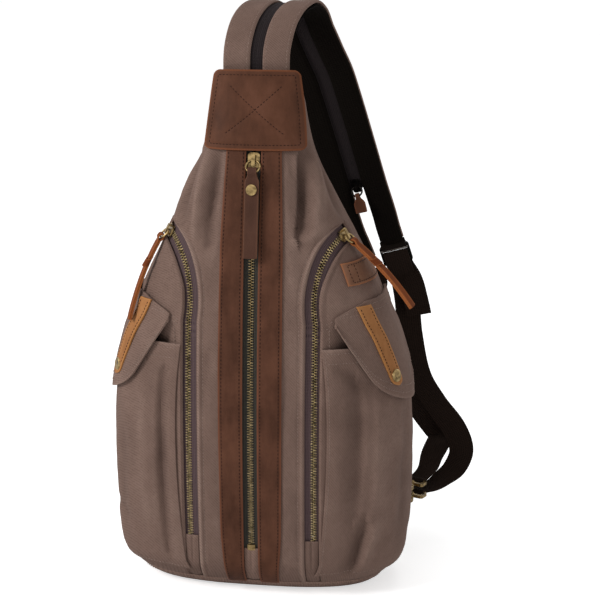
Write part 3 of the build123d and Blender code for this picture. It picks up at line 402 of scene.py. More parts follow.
FOLDS = {
    1: [(-29, 412, -51, 342, 1.4, 9, -9.0), (-8, 408, -34, 356, 7, 7, 3.6), (4, 404, -10, 362, 6, 7, -4.0),
        (-52, 338, -20, 349, 6, 6, 3.6),
        (-35, 208, -36, 84, 12, 4, -5.0), (-28, 200, -29, 70, 5, 11, 3.0), (-12, 170, -14, 50, 11, 11, -2.6),
        (2, 150, 0, 60, 9, 9, 2.0), (-42, 224, -26, 196, 7, 7, -3.4), (-31, 76, -34, 26, 9, 1.8, -6.0),
        (-28, 72, -31, 28, 2.4, 7, 3.0),
        (-60, 250, -50, 200, 7, 7, 1.4), (-58, 110, -50, 50, 7, 7, 1.5), (-8, 300, -30, 276, 6, 6, 1.4),
        (2, 256, 2, 214, 26, 26, -3.4)],
    -1: [(-38, 412, -53, 334, 5.5, 5.5, -6.5), (-24, 412, -41, 340, 5, 4, 5.0),
         (-8, 408, -28, 350, 4, 8, -4.0), (4, 404, -6, 362, 7, 7, 3.0), (-30, 344, -4, 352, 7, 7, 1.8),
         (-42, 216, -41, 40, 7, 3.2, -5.4), (-34, 200, -34, 60, 8, 8, 3.0), (-22, 150, -20, 60, 9, 9, -2.6),
         (-8, 120, -10, 40, 9, 9, -1.8), (4, 170, 0, 90, 10, 10, 1.6), (-2, 84, -30, 62, 6, 6, -1.5),
         (-64, 230, -56, 150, 7, 7, -1.2), (-60, 90, -46, 40, 7, 7, 1.5)],
}


def fold_depth(side, angle, z):
    """Each fold: start angle and height, end angle and height, width before and after it, and rise."""
    total = 0.0
    here = angle * 180 / pi
    scale = section(z)[0] * pi / 180
    for a0, z0, a1, z1, before, after, height in FOLDS[side]:
        dx, dz = (a1 - a0) * scale, z1 - z0
        px, pz = (here - a0) * scale, z - z0
        along = (px * dx + pz * dz) / (dx * dx + dz * dz)
        if -0.3 < along < 1.3:
            near = min(max(along, 0), 1)
            off_x, off_z = px - dx * near, pz - dz * near
            width = before if off_x < 0 else after
            total += height * exp(-(off_x**2 + off_z**2) / width**2) * (0.55 + 0.45 * sin(pi * near))
    return total


@lru_cache(maxsize=200000)
def relief(side, angle, z):
    """How far the cloth stands off the plain body, in mm, at rest at zips, base and yoke."""
    calm = (smooth(6, 24, zip_distance(angle, z)) * smooth(14, 34, z) * (1 - smooth(408, 430, z))
            * smooth(25, 31, abs(wall(angle, z).x)) * (1 - smooth(radians(8), BACK_SEAM, angle)))
    seed = 11.3 * side
    slow = noise.noise(Vector((angle * 3.2, z * 0.012, seed)))
    quick = noise.noise(Vector((angle * 8, z * 0.03, seed + 5)))
    fine = noise.noise(Vector((angle * 22, z * 0.11, seed + 9)))
    return calm * (fold_depth(side, angle, z) + 1.5 * slow + 0.9 * quick + 0.3 * fine)


def fold_wear_and_shade(side, angle, z):
    """Paler on the crests of folds, partly wear and partly painted highlight, and darker in their hollows,
    which is painted shade.
    """
    return min(max(relief(side, angle, z) * 0.16, -0.9), 0.9)


print("folds per side:", [len(FOLDS[s]) for s in (1, -1)])

# %% [markdown]
# `cloth` is how every sewn piece starts: a flat grid primitive, its points laid in place, then
# Solidify for the cloth's thickness and a small Bevel for its cut edges. A left piece is the same
# rule with its x turned over, so that its faces still point outwards.

# %% The cloth builder
def deselect():
    if bpy.context.object and bpy.context.object.mode != "OBJECT":
        bpy.ops.object.mode_set(mode="OBJECT")
    bpy.ops.object.select_all(action="DESELECT")


def only(piece):
    """Selects this piece alone, so that an operator acts on nothing else."""
    deselect()
    piece.select_set(True)
    bpy.context.view_layer.objects.active = piece


def apply_modifier(piece, name):
    only(piece)
    bpy.ops.object.modifier_apply(modifier=name)


def break_edges(piece, name, width, angle):
    """A narrow bevel on every edge that is sharper than angle."""
    edge = piece.modifiers.new(name, "BEVEL")
    edge.width = width * MM
    edge.segments = 2
    edge.limit_method = "ANGLE"
    edge.angle_limit = radians(angle)


def shade_round(piece):
    only(piece)
    bpy.ops.object.shade_smooth_by_angle(angle=radians(40))
    return piece


def weld(piece, reach=0.05, turn_out=False):
    """Merges points nearer than reach mm, and on request turns all faces outwards."""
    only(piece)
    bpy.ops.object.mode_set(mode="EDIT")
    bpy.ops.mesh.select_all(action="SELECT")
    bpy.ops.mesh.remove_doubles(threshold=reach * MM)
    if turn_out:
        bpy.ops.mesh.normals_make_consistent(inside=False)
    bpy.ops.object.mode_set(mode="OBJECT")


def lay_grid(name, place, columns, rows, wear_and_shade=None):
    """A grid whose point at shares u, v goes to place(u, v), in mm; its UV map is in metres."""
    deselect()
    bpy.ops.mesh.primitive_grid_add(x_subdivisions=columns, y_subdivisions=rows, size=2)
    piece = bpy.context.object
    piece.name = name
    mesh = piece.data
    mesh.name = name
    shares = [((v.co.x + 1) / 2, (v.co.y + 1) / 2) for v in mesh.vertices]
    for vertex, (u, v) in zip(mesh.vertices, shares):
        vertex.co = place(u, v) * MM
    # This attribute holds wear and painted shade, which the materials turn into colour.
    wear_shade_amount = mesh.attributes.new("wear_and_shade", "FLOAT", "POINT")
    for i, (u, v) in enumerate(shares):
        wear_shade_amount.data[i].value = wear_and_shade(u, v) if wear_and_shade else 0.0
    middle = [place(0.5, i / 20) for i in range(21)]
    row = [place(i / 20, 0.5) for i in range(21)]
    length = sum((b - a).length for a, b in zip(middle, middle[1:])) * MM
    width = sum((b - a).length for a, b in zip(row, row[1:])) * MM
    for loop in mesh.uv_layers[0].data:
        loop.uv = (loop.uv[1] * length, loop.uv[0] * width)
    return piece


def thicken(piece, thickness, material, bevel=0.4, both=False):
    mesh = piece.data
    mesh.materials.clear()
    mesh.materials.append(material)
    solid = piece.modifiers.new("thickness", "SOLIDIFY")
    solid.thickness = thickness * MM
    solid.offset = 0 if both else -1
    apply_modifier(piece, "thickness")
    break_edges(piece, "edges", bevel, 50)
    apply_modifier(piece, "edges")
    return shade_round(piece)


def flip(vector):
    return Vector((-vector.x, vector.y, vector.z))


def turned_over(side, place):
    """The same rule for the other side of the bag."""
    return place if side == 1 else (lambda u, v: flip(place(1 - u, v)))


def wear_and_shade_over(side, wear_and_shade):
    return wear_and_shade if side == 1 else (lambda u, v: wear_and_shade(1 - u, v))


def cloth(name, place, columns, rows, thickness, material, side=1, wear_and_shade=None, bevel=0.4):
    piece = lay_grid(name, turned_over(side, place), columns, rows, wear_and_shade_over(side, wear_and_shade) if wear_and_shade else None)
    return thicken(piece, thickness, material, bevel)


def ends_up(piece, body, slot, *nodes):
    """Rides on its body and stands for its nodes; slot is not used."""
    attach(piece, body)
    if nodes:
        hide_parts(*nodes)
    print(piece.name, len(piece.data.polygons), "faces")
    return piece


SIDES = {1: "right", -1: "left"}

# %% [markdown]
# Stitches are single short loops of thread that sink into the cloth at both ends. One is modelled,
# as a small sphere stretched along its length, and its mesh is copied along each seam. A picture of
# thread would look flat from the side; a few dozen faces for each stitch cost little.

# %% Stitches and other repeats
def copies(name, model, places, material):
    """One mesh that holds the model's mesh at each of these 4x4 places, given in mm."""
    points, faces = [], []
    shape = [v.co.copy() for v in model.data.vertices]
    loops = [tuple(p.vertices) for p in model.data.polygons]
    for place in places:
        start = len(points)
        points += [tuple((place @ p) * MM) for p in shape]
        faces += [tuple(start + i for i in loop) for loop in loops]
    mesh = bpy.data.meshes.new(name)
    mesh.from_pydata(points, [], faces)
    mesh.materials.append(material)
    mesh.update()
    piece = bpy.data.objects.new(name, mesh)
    bpy.context.collection.objects.link(piece)
    return shade_round(piece)


def discard(model):
    bpy.data.objects.remove(model, do_unlink=True)


def axes(point, along, out):
    """4x4 place at point with x along, z out."""
    along = along.normalized()
    side = out.cross(along).normalized()
    return Matrix.Translation(point) @ Matrix((along, side, along.cross(side))).transposed().to_4x4()


def stretched(scale):
    """The primitive that was just added, with this scale taken into its mesh."""
    model = bpy.context.object
    model.scale = scale
    bpy.ops.object.transform_apply(location=False, rotation=False, scale=True)
    return model


deselect()
bpy.ops.mesh.primitive_uv_sphere_add(segments=6, ring_count=4, radius=1)
stitch_model = stretched((1.2, 0.42, 0.42))


def along_line(points, pitch):
    """Evenly spaced (point, direction, share) along a polyline."""
    lengths = [0.0]
    for a, b in zip(points, points[1:]):
        lengths.append(lengths[-1] + (b - a).length)
    count = max(int(lengths[-1] / pitch), 1)
    found, i = [], 0
    for k in range(count):
        goal = lengths[-1] * (k + 0.5) / count
        while i < len(points) - 2 and lengths[i + 1] < goal:
            i += 1
        share = (goal - lengths[i]) / max(lengths[i + 1] - lengths[i], 1e-9)
        found.append((points[i].lerp(points[i + 1], share), points[i + 1] - points[i], i + share))
    return found


def stitch_rows(name, rows, pitch=3.4, body="bag", leather=False):
    """rows: lists of (point, outward normal); pitch: mm from stitch to stitch."""
    material, slot = (LEATHER_THREAD, "brown_leather") if leather else (CANVAS_THREAD, "canvas")
    places = []
    for row in rows:
        points = [p for p, _ in row]
        for point, along, share in along_line(points, pitch):
            out = row[min(int(share + 0.5), len(row) - 1)][1]
            places.append(axes(point, along, out))
    return ends_up(copies(name, stitch_model, places, material), body, slot)


def row_on_skin(side, path, depth):
    """Row of (point, normal) on the body from (angle, z) places, standing depth(angle, z) off it."""
    row = []
    for angle, z in path:
        point, out = skin(angle, z, depth(angle, z)), wall_normal(angle, z)
        row.append((point, out) if side == 1 else (flip(point), flip(out)))
    return row


print("stitch:", len(stitch_model.data.polygons), "faces")

# %% [markdown]
# The base is a shallow tray of canvas. Its underside is flat on the ground with a board inside, and
# its edge is a folded binding that stands a little proud all round. A solid cut to the outline
# would have a hard rim, so one grid makes both: it runs from the middle of the underside outwards and
# then up the binding.

# %% Base
CANVAS, POCKET_CANVAS, LEATHER, LAYER_GAP, BASE_BAND = 2.2, 2.0, 1.8, 0.3, 12.0


def base_place(u, v):
    angle = 2 * pi * u
    if v < 0.4:
        share = (v / 0.4) ** 0.8
        edge = wall(angle, 0.0)
        return Vector((edge.x * share, edge.y * share, 0.25 + 1.2 * (1 - share**4)))
    z = BASE_BAND * ((v - 0.4) / 0.6)
    bulge = 1.1 * sin(pi * min(z / BASE_BAND, 1)) ** 0.7
    waver = 0.5 * noise.noise(Vector((cos(angle) * 3, sin(angle) * 3, z * 0.05)))
    return skin(angle, max(z, 0.25), bulge + waver * smooth(0, 4, z))


base = lay_grid("base_canvas", base_place, 220, 26, wear_and_shade=lambda u, v: 0.35 * smooth(0.8, 1, v) - 0.3)
weld(base)
thicken(base, 1.8, BASE_CLOTH)
ends_up(base, "bag", "canvas", "base_tray")

# %% [markdown]
# The front is one piece of canvas on each side of the centre zip. It runs from the base to the
# yoke: beside the side zip it ends in a rolled edge, and above the zip it goes round to the back
# seam. One grid would be pinched where the zip ends, so two with matching points are joined there.

# %% Front canvas
def rolled_edge(gap, rise=0.9):
    """A turned and topstitched edge, at a distance from it: round at the edge, a groove at the stitches."""
    return (rise * exp(-((gap - 2.8) / 1.8) ** 2) - 1.3 * (1 - smooth(0, 1.8, gap))
            - 0.55 * exp(-((gap - 6.0) / 1.1) ** 2))


FRONT_COLUMNS, SHOULDER_COLUMNS = 44, 22
SHOULDER_LOW = SIDE_ARC_START + SIDE_ARC_RISE + SIDE_TAPE_INNER


def front_low(side):
    def place(u, v):
        angle, z = zip_line(2 * v, -SIDE_TAPE_INNER)
        start = angle_at(CENTRE_CHANNEL, z)
        here = mix(start, angle, u)
        gap = (wall(angle, z) - wall(here, z)).length
        edge = rolled_edge(gap) * (1 - smooth(0.93, 1, v))
        return skin(here, z, relief(side, here, z) + edge)
    return place


def low_spot(u, v):
    angle, z = zip_line(2 * v, -SIDE_TAPE_INNER)
    return mix(angle_at(CENTRE_CHANNEL, z), angle, u), z


def high_spot(u, v):
    part = FRONT_COLUMNS / (FRONT_COLUMNS + SHOULDER_COLUMNS)
    z = mix(SHOULDER_LOW, BODY_HEIGHT, v)
    if u <= part:
        return mix(angle_at(CENTRE_CHANNEL, z), SIDE_ARC_END, u / part), z
    return mix(SIDE_ARC_END, BACK_SEAM, (u - part) / (1 - part)), z


def front_high(side):
    def place(u, v):
        here, z = high_spot(u, v)
        drawn_in = 3.5 * smooth(452, 478, z) * smooth(radians(-75), radians(-45), here)
        return skin(here, z, relief(side, here, z) - drawn_in)
    return place


def front_wear_and_shade(side):
    """As the folds, paler on their crests and darker in their hollows, which is painted shade, and worn pale
    along the turned edge beside the zip.
    """
    return lambda u, v: (fold_wear_and_shade(side, *low_spot(u, v))
                         + 0.9 * (1 - smooth(0.85, 0.95, v)) * (smooth(0.9, 0.95, u) - smooth(0.96, 1, u)))


for side, word in SIDES.items():
    low = lay_grid("front_canvas_" + word, turned_over(side, front_low(side)), FRONT_COLUMNS, 230,
                   wear_and_shade_over(side, front_wear_and_shade(side)))
    high = lay_grid("front_canvas_high", turned_over(side, front_high(side)),
                    FRONT_COLUMNS + SHOULDER_COLUMNS, 84,
                    wear_and_shade_over(side, lambda u, v: fold_wear_and_shade(side, *high_spot(u, v))))
    only(low)
    high.select_set(True)
    bpy.ops.object.join()
    weld(low)
    thicken(low, CANVAS, CANVAS_CLOTH)
    ends_up(low, "bag", "canvas", "front_panel_" + word, "shoulder_panel_" + word)

# %% [markdown]
# The side canvas runs from the side zip to the back seam. Behind the patch pocket it is pushed in,
# which makes the room for what the pocket holds, and it is painted darker there, which is painted
# shade. It could be sculpted inwards by hand; the same smooth rule that the frame's solid has is
# used, so that neither cuts through the other.

# %% Side canvas
POCKET_FRONT, POCKET_BACK, POCKET_LOW, POCKET_MOUTH = radians(-49), radians(17), 24.0, 243.0
POCKET_ROOM, SETBACK_TOP = 18.0, 266.0


def pocket_setback(angle, z):
    across = (angle - POCKET_FRONT) / (POCKET_BACK - POCKET_FRONT)
    up = (z - POCKET_LOW) / (SETBACK_TOP - POCKET_LOW)
    if not (0 < across < 1 and 0 < up < 1):
        return 0.0
    return POCKET_ROOM * ((1 - (2 * across - 1)**4) * (1 - (2 * up - 1)**6))**2


def outer_gap(t):
    """The side canvas lies close to the teeth, and leaves room for the slider at the top."""
    return mix(4.4, SIDE_TAPE_OUTER, smooth(1.2, 1.5, t))


SIDE_SHARES = 2.12     # both parts of the zip line, and a little beyond its end


def side_place(side):
    def place(u, v):
        t = SIDE_SHARES * v
        if t <= 2:
            start, z = zip_line(t, outer_gap(t))
        else:
            arc_top = SIDE_ARC_START + SIDE_ARC_RISE - SIDE_TAPE_OUTER
            start, z = SIDE_ARC_END, mix(arc_top, SHOULDER_LOW + 1, (t - 2) / (SIDE_SHARES - 2))
        here = mix(start, BACK_SEAM, u)
        gap = (wall(start, z) - wall(here, z)).length
        set_in = pocket_setback(here, z)
        folds = relief(side, here, z) * (1 - smooth(0, 3, set_in))
        edge = rolled_edge(gap, 0.6) * (1 - smooth(0, 2, set_in))
        return skin(here, z, folds + edge - set_in)
    return place


def pocket_setback_shade(u, v):
    """Painted shade: darker where the cloth is pushed in behind the pocket."""
    start, z = zip_line(min(SIDE_SHARES * v, 2), SIDE_TAPE_OUTER)
    return -0.7 * smooth(1, 10, pocket_setback(mix(start, BACK_SEAM, u), z))


for side, word in SIDES.items():
    piece = cloth("side_canvas_" + word, side_place(side), 70, 220, CANVAS, CANVAS_CLOTH, side, pocket_setback_shade)
    ends_up(piece, "bag", "canvas", "side_panel_" + word)

# %% [markdown]
# The back is a plain panel with a piped seam at each side. Two padded mesh cushions are sewn on it,
# which keep the load off the wearer's back and let air through. A pad could be blown up by a cloth
# simulation; a crowned grid with sewn channels across it is as plump, and the same on each run.

# %% Back canvas
def back_place(u, v):
    z = mix(PANEL_LOW, BODY_HEIGHT, v)
    here = mix(BACK_SEAM + radians(0.6), pi - BACK_SEAM - radians(0.6), u)
    side = 1 if here < pi / 2 else -1
    gap = min((wall(here, z) - wall(BACK_SEAM, z)).length, (wall(here, z) - wall(pi - BACK_SEAM, z)).length)
    slow = noise.noise(Vector((here * 4, z * 0.014, 3.3)))
    return skin(here, z, 1.0 * slow * smooth(6, 30, gap) * smooth(14, 40, z) + rolled_edge(gap, 1.0))


back = cloth("back_canvas", back_place, 90, 180, CANVAS, CANVAS_CLOTH, wear_and_shade=lambda u, v: -0.2)
ends_up(back, "bag", "canvas", "back_panel")

# %% Back pads
PAD_OUTER, PAD_INNER, PAD_LOW, PAD_HIGH, PAD_THICKNESS = radians(40), radians(84), 40.0, 380.0, 8.0


def pad_place(u, v):
    crown = (1 - abs(2 * u - 1)**4) * (1 - abs(2 * v - 1)**8)
    channels = abs(sin(pi * 5 * v)) ** 0.5
    lift = PAD_THICKNESS * crown * (0.62 + 0.38 * channels)
    return skin(mix(PAD_OUTER, PAD_INNER, u), mix(PAD_LOW, PAD_HIGH, v), 2 * LAYER_GAP + 1.5 + lift)


for side, word in SIDES.items():
    pad = lay_grid("back_pad_" + word, turned_over(side, pad_place), 40, 160)
    thicken(pad, 1.4, MESH_CLOTH)
    ends_up(pad, "bag", "black_mesh", *(["back_pads"] if side == 1 else []))

# %% [markdown]
# Each side pocket is a patch of canvas with a hemmed mouth. It bags a little at the mouth, where a
# hand pulls it, and hangs in soft upright folds below the flap. It takes the folds of the body under
# it, faded out towards its sewn edges, since a patch that is sewn down moves with its ground.

# %% Pockets
POCKET_ACROSS, POCKET_UP = 150, 212     # about its size on the cloth, in mm


def pocket_place(side):
    def place(u, v):
        here, z = mix(POCKET_FRONT, POCKET_BACK, u), mix(POCKET_LOW, POCKET_MOUTH, v)
        border = min(u, 1 - u) * POCKET_ACROSS
        hem = 0.5 * smooth(0.945, 0.95, v)
        pinch = -0.42 * (1 - smooth(0, 5, min(border, v * POCKET_UP)))
        bag = 0.48 * sin(pi * u) * smooth(0.75, 1, v)
        stand = relief(side, here, z) * smooth(0, 10, border) + hem + pinch + bag
        return skin(here, z, LAYER_GAP + POCKET_CANVAS + stand)
    return place


def pocket_wear_and_shade(side):
    """As the cloth beside it, with the painted shade of its folds, and worn pale along the mouth."""
    return lambda u, v: (fold_wear_and_shade(side, mix(POCKET_FRONT, POCKET_BACK, u), mix(POCKET_LOW, POCKET_MOUTH, v))
                         + 0.6 * smooth(0.985, 1, v))


for side, word in SIDES.items():
    piece = cloth("pocket_" + word + "_canvas", pocket_place(side), 80, 130, POCKET_CANVAS, CANVAS_CLOTH,
                  side, pocket_wear_and_shade(side), 0.5)
    ends_up(piece, "bag", "canvas", "pocket_" + word)

# %% [markdown]
# The flap is a rounded tongue, two layers of canvas turned and topstitched, hinged at the seam that
# crosses the side above the pocket. It rides on the flap's own body. It could fall on the pocket by
# simulation; it is laid on the same rule instead, a little higher, so that the two keep apart.

# %% Flaps
FLAP_FRONT, FLAP_BACK = radians(-40.5), radians(12)
FLAP_SEAM_FRONT, FLAP_SEAM_BACK, FLAP_CANVAS = 269.5, 283.0, 2.2
FLAP_EDGE = [(0, 262), (.048, 248), (.086, 238), (.133, 226), (.2, 211), (.276, 201), (.39, 193), (.543, 187),
             (.695, 185), (.83, 188), (.924, 200), (1, 226)]
FLAP_LOW = 4 * LAYER_GAP + POCKET_CANVAS
FLAP_TOP = FLAP_LOW + FLAP_CANVAS


def flap_lift(z):
    return (3 * LAYER_GAP - FLAP_LOW) * smooth(0, 1, (z - POCKET_MOUTH - 1) / 24)


def flap_seam(u):
    return mix(FLAP_SEAM_FRONT, FLAP_SEAM_BACK, min(u * 3.0, 1) ** 0.8)


def flap_place(side):
    def place(u, v):
        here = mix(FLAP_FRONT, FLAP_BACK, u)
        z = mix(curve_value(FLAP_EDGE, u), flap_seam(u), v)
        low = 1 - smooth(0, 0.5, v)
        flare = 1.6 * low * (1 - u) + 0.8 * low
        folds = relief(side, here, z) * smooth(0, 0.2, 1 - v) * 0.6
        return skin(here, z, FLAP_TOP + flap_lift(z) + folds + flare)
    return place


for side, word in SIDES.items():
    piece = cloth("flap_" + word + "_canvas", flap_place(side), 70, 70, FLAP_CANVAS, CANVAS_CLOTH, side,
                  wear_and_shade=lambda u, v: 0.55 * (1 - smooth(0, 0.035, v)) + 0.1, bevel=0.9)
    ends_up(piece, word + "_flap", "canvas", "flap_" + word)

# %% [markdown]
# Two straps of leather are sewn on beside the centre zip. They are cut from the hide and left raw,
# so their edges are paler than their faces. A curve with a flat profile would lie stiffly across the
# folds; a narrow grid on the body's rule takes them up.

# %% Leather straps
STRIP_INNER, STRIP_OUTER, STRIP_END_OUTER, STRIP_TOP = 6.5, 28.0, 24.0, 424.0
STRIP_ENDS = [(PANEL_LOW, STRIP_END_OUTER), (70, STRIP_OUTER), (320, STRIP_OUTER),
              (STRIP_TOP, STRIP_END_OUTER)]


def edge_rub(u, v, across, along, band=1.1):
    """Near 1 within band mm of a piece's own edges."""
    gap = min(min(u, 1 - u) * across, min(v, 1 - v) * along)
    return 0.9 * (1 - smooth(0.3 * band, band, gap))


def strip_place(side):
    def place(u, v):
        z = mix(PANEL_LOW, STRIP_TOP, v)
        here = angle_at(mix(STRIP_INNER, curve_value(STRIP_ENDS, z), u), z)
        waver = 0.35 * noise.noise(Vector((u * 1.5, z * 0.02, side * 4.0)))
        pressed = 0.5 * abs(2 * u - 1) ** 8
        return skin(here, z, LAYER_GAP + LEATHER + relief(side, here, z) + waver - pressed)
    return place


for side, word in SIDES.items():
    piece = cloth("leather_strap_" + word, strip_place(side), 22, 240, LEATHER, BROWN_LEATHER, side,
                  wear_and_shade=lambda u, v: edge_rub(u, v, 21, 410, 1.4), bevel=0.35)
    ends_up(piece, "bag", "brown_leather", "leather_strip_" + word)

# %% [markdown]
# A leather patch covers where the shoulder strap, the zip and both leather straps meet. It is one
# piece, drawn in at its stitched border and along the stitched cross that holds the strap. Its
# corners could be cut by a boolean; moving the grid's own points to a round keeps its rows even.

# %% Yoke patch
PATCH_LOW, PATCH_HIGH, PATCH_HALF_LOW, PATCH_HALF_HIGH = 415.5, 484.0, 43.8, 36.2
PATCH_ACROSS, PATCH_UP, PATCH_ROUND, SEAM_INSET = 86, 68, 5.0, 4.6
PATCH_DEPTH = 2 * LAYER_GAP + LEATHER


def patch_spot(x_share, z_share):
    """Place on the patch from shares -1 to 1 across and 0 to 1 up, as (angle, z)."""
    z = mix(PATCH_LOW, PATCH_HIGH, z_share)
    x = mix(PATCH_HALF_LOW, PATCH_HALF_HIGH, z_share) * x_share
    angle = angle_at(abs(x), z)
    return (angle if x >= 0 else -pi - angle), z


def rounded(u, v, width, height, radius):
    """Moves a point of the unit square onto a square with rounded corners."""
    x, y = (u - 0.5) * width, (v - 0.5) * height
    inner_x, inner_y = width / 2 - radius, height / 2 - radius
    over_x, over_y = abs(x) - inner_x, abs(y) - inner_y
    if over_x > 0 and over_y > 0:
        reach = sqrt(over_x**2 + over_y**2)
        furthest = max(over_x, over_y)
        over_x, over_y = over_x * furthest / reach, over_y * furthest / reach
        x = (inner_x + over_x) * (1 if x > 0 else -1)
        y = (inner_y + over_y) * (1 if y > 0 else -1)
    return x / width + 0.5, y / height + 0.5


def patch_place(u, v):
    u2, v2 = rounded(u, v, PATCH_ACROSS, PATCH_UP, PATCH_ROUND)
    here, z = patch_spot(2 * u2 - 1, v2)
    gap = min(min(u, 1 - u) * PATCH_ACROSS, min(v, 1 - v) * PATCH_UP)
    puff = 0.5 * smooth(0, 9, gap) - 0.4 * exp(-((gap - SEAM_INSET) / 0.8) ** 2)
    cross = min(abs((u - v) * 50), abs((u + v - 1) * 50))
    puff -= 0.25 * exp(-(cross / 0.8) ** 2) * smooth(12, 16, gap)
    sway = 0.5 * noise.noise(Vector((u * 2.2, v * 2.2, 7.7)))
    return skin(here, z, PATCH_DEPTH + LEATHER + puff + sway)


patch = cloth("yoke_leather", patch_place, 90, 72, LEATHER, PATCH_LEATHER,
              wear_and_shade=lambda u, v: edge_rub(u, v, PATCH_ACROSS, PATCH_UP, 1.8), bevel=0.45)
ends_up(patch, "bag", "patch_leather", "yoke_patch")

# %% [markdown]
# A folded leather tab is sewn to the right side, and each flap has a strap of tan leather with a
# snap at its tip. Both are small grids laid like the others, each raised by what lies under it. A
# flat plate moved into place would float at one end and sink in at the other.

# %% Side tab
TAB_FRONT, TAB_BACK, TAB_LOW, TAB_HIGH, TAB_THICKNESS = radians(-30), radians(-1), 297.0, 317.0, 3.0


def tab_place(u, v):
    here = mix(TAB_FRONT, TAB_BACK, u)
    z = mix(TAB_LOW, TAB_HIGH, v) + 2 * u
    fold = -1.3 * (1 - smooth(0.0, 0.06, u))
    sway = 0.25 * noise.noise(Vector((u * 3, v * 2, 1.1)))
    return skin(here, z, LAYER_GAP + TAB_THICKNESS + max(relief(1, here, z), 0) + fold + sway)


tab = cloth("side_leather_tab", tab_place, 40, 26, TAB_THICKNESS - 0.2, TAB_LEATHER,
            wear_and_shade=lambda u, v: edge_rub(u, v, 44, 21, 1.2), bevel=0.5)
ends_up(tab, "bag", "brown_leather", "side_tab")

# %% Flap straps
STRIP_START_ANGLE, SNAP_ANGLE = radians(-26), radians(-20)
SNAP_HEIGHT, FLAP_STRIP_WIDTH, FLAP_STRIP_TOP = 213.0, 14.0, 279.0


def flap_strip_place(side):
    def place(u, v):
        z = mix(SNAP_HEIGHT - 9, FLAP_STRIP_TOP, v)
        middle = mix(SNAP_ANGLE, STRIP_START_ANGLE, (z - SNAP_HEIGHT) / (FLAP_STRIP_TOP - SNAP_HEIGHT))
        around = wall(middle, z)
        half = FLAP_STRIP_WIDTH / 2 / sqrt(around.x**2 + around.y**2)
        c = 2 * u - 1
        tip = sqrt(max(1 - (1 - min(v * 11.1, 1)) ** 2, 0.02))
        here = middle + half * c * tip
        flare = 1.3 * (1 - smooth(185, 232.5, z))
        folds = 0.6 * relief(side, here, z) * smooth(0, 12, FLAP_STRIP_TOP + 2 - z)
        crown = 0.25 * (1 - c * c)
        return skin(here, z, FLAP_TOP + LAYER_GAP + LEATHER + flap_lift(z) + folds + flare + crown)
    return place


for side, word in SIDES.items():
    piece = cloth("flap_leather_" + word, flap_strip_place(side), 16, 70, LEATHER, TAN_LEATHER, side,
                  wear_and_shade=lambda u, v: edge_rub(u, v, 14, 78, 1.2), bevel=0.4)
    ends_up(piece, word + "_flap", "tan_leather", "flap_strip_" + word)

# %% [markdown]
# A zip is two woven tapes with a row of teeth on each edge. One tooth is modelled from a cube with
# broken edges, and copied along the chain's line on alternate sides, as the real ones mesh. An array
# bent along a curve would shear the teeth a little; copies placed by length stay whole.

# %% Zip frames
CHAIN_WIDTH, CHAIN_THICKNESS = 8.0, 3.0
TAPE_WIDTH, TAPE_THICKNESS, TAPE_DEPTH, TAPE_OVERLAP = 7.0, 0.8, 3.0, 2.6
CENTRE_ZIP_LOW, CENTRE_ZIP_HIGH, SIDE_ZIP_LOW, SIDE_SLIDER_SHARE = 46.0, 407.5, 46.0, 0.9


def centre_frame(z):
    out = wall_normal(-pi / 2, z)
    return skin(-pi / 2, z, -TAPE_DEPTH), X, X.cross(out) * -1, out


def side_frame(t):
    step = 0.01
    point = skin(*zip_line(t), -SIDE_TAPE_DEPTH)
    before, after = (skin(*zip_line(at), -SIDE_TAPE_DEPTH) for at in (t - step, min(t + step, 2)))
    forward = (after - before).normalized()
    out = wall_normal(*zip_line(t))
    across = forward.cross(out).normalized()
    return point, across, forward, across.cross(forward)


def ribbon(name, frames, left, right, lift, thickness, material, columns, bevel=0.2, wear_and_shade=None):
    """Band along frames of (point, across, forward, out); lift(u) raises it; it lies thickness deep."""
    count = len(frames) - 1

    def place(u, v):
        i = min(int(v * count + 1e-6), count - 1)
        s = v * count - i
        (p0, a0, _, o0), (p1, a1, _, o1) = frames[i], frames[i + 1]
        edge = mix(left(v), right(v), u) if callable(left) else mix(left, right, u)
        return p0.lerp(p1, s) + a0.lerp(a1, s) * edge + o0.lerp(o1, s) * lift(u, v)
    piece = lay_grid(name, place, columns, count, wear_and_shade)
    return thicken(piece, thickness, material, bevel)


print("a tape reaches", CHAIN_WIDTH / 2 + TAPE_WIDTH, "mm to each side of its zip")

# %% Teeth
TOOTH_PITCH, TOOTH_INSET = 2.5, 2.75


def block_model(size, bevel, segments):
    """A block in mm with bevelled edges, to be copied."""
    deselect()
    bpy.ops.mesh.primitive_cube_add(size=1)
    block = stretched(size)
    bpy.ops.object.mode_set(mode="EDIT")
    bpy.ops.mesh.select_all(action="SELECT")
    bpy.ops.mesh.bevel(offset=bevel, segments=segments, affect="EDGES")
    bpy.ops.object.mode_set(mode="OBJECT")
    return block


tooth_model = block_model((1.15, 3.3, 2.4), 0.34, 1)


def teeth_places(frames, half, pitch=TOOTH_PITCH):
    """Alternate places of teeth on both sides of a line of frames."""
    points = [f[0] for f in frames]
    places = []
    for k, (point, along, share) in enumerate(along_line(points, pitch / 2)):
        i = min(int(share + 0.5), len(frames) - 1)
        across, out = frames[i][1], frames[i][3]
        hand = 1 if k % 2 else -1
        places.append(axes(point + across * hand * (half - TOOTH_INSET), along, out))
    return places


centre_heights = [mix(PANEL_LOW + 3, PATCH_LOW + 14, i / 120) for i in range(121)]
centre_line = [centre_frame(z) for z in centre_heights]
chain_line = [centre_frame(z) for z in centre_heights if CENTRE_ZIP_LOW - 2 <= z <= CENTRE_ZIP_HIGH + 2]
ends_up(copies("centre_zip_teeth", tooth_model, teeth_places(chain_line, CHAIN_WIDTH / 2), TOOTH_BRASS),
        "bag", "antique_brass", "centre_zip_chain")


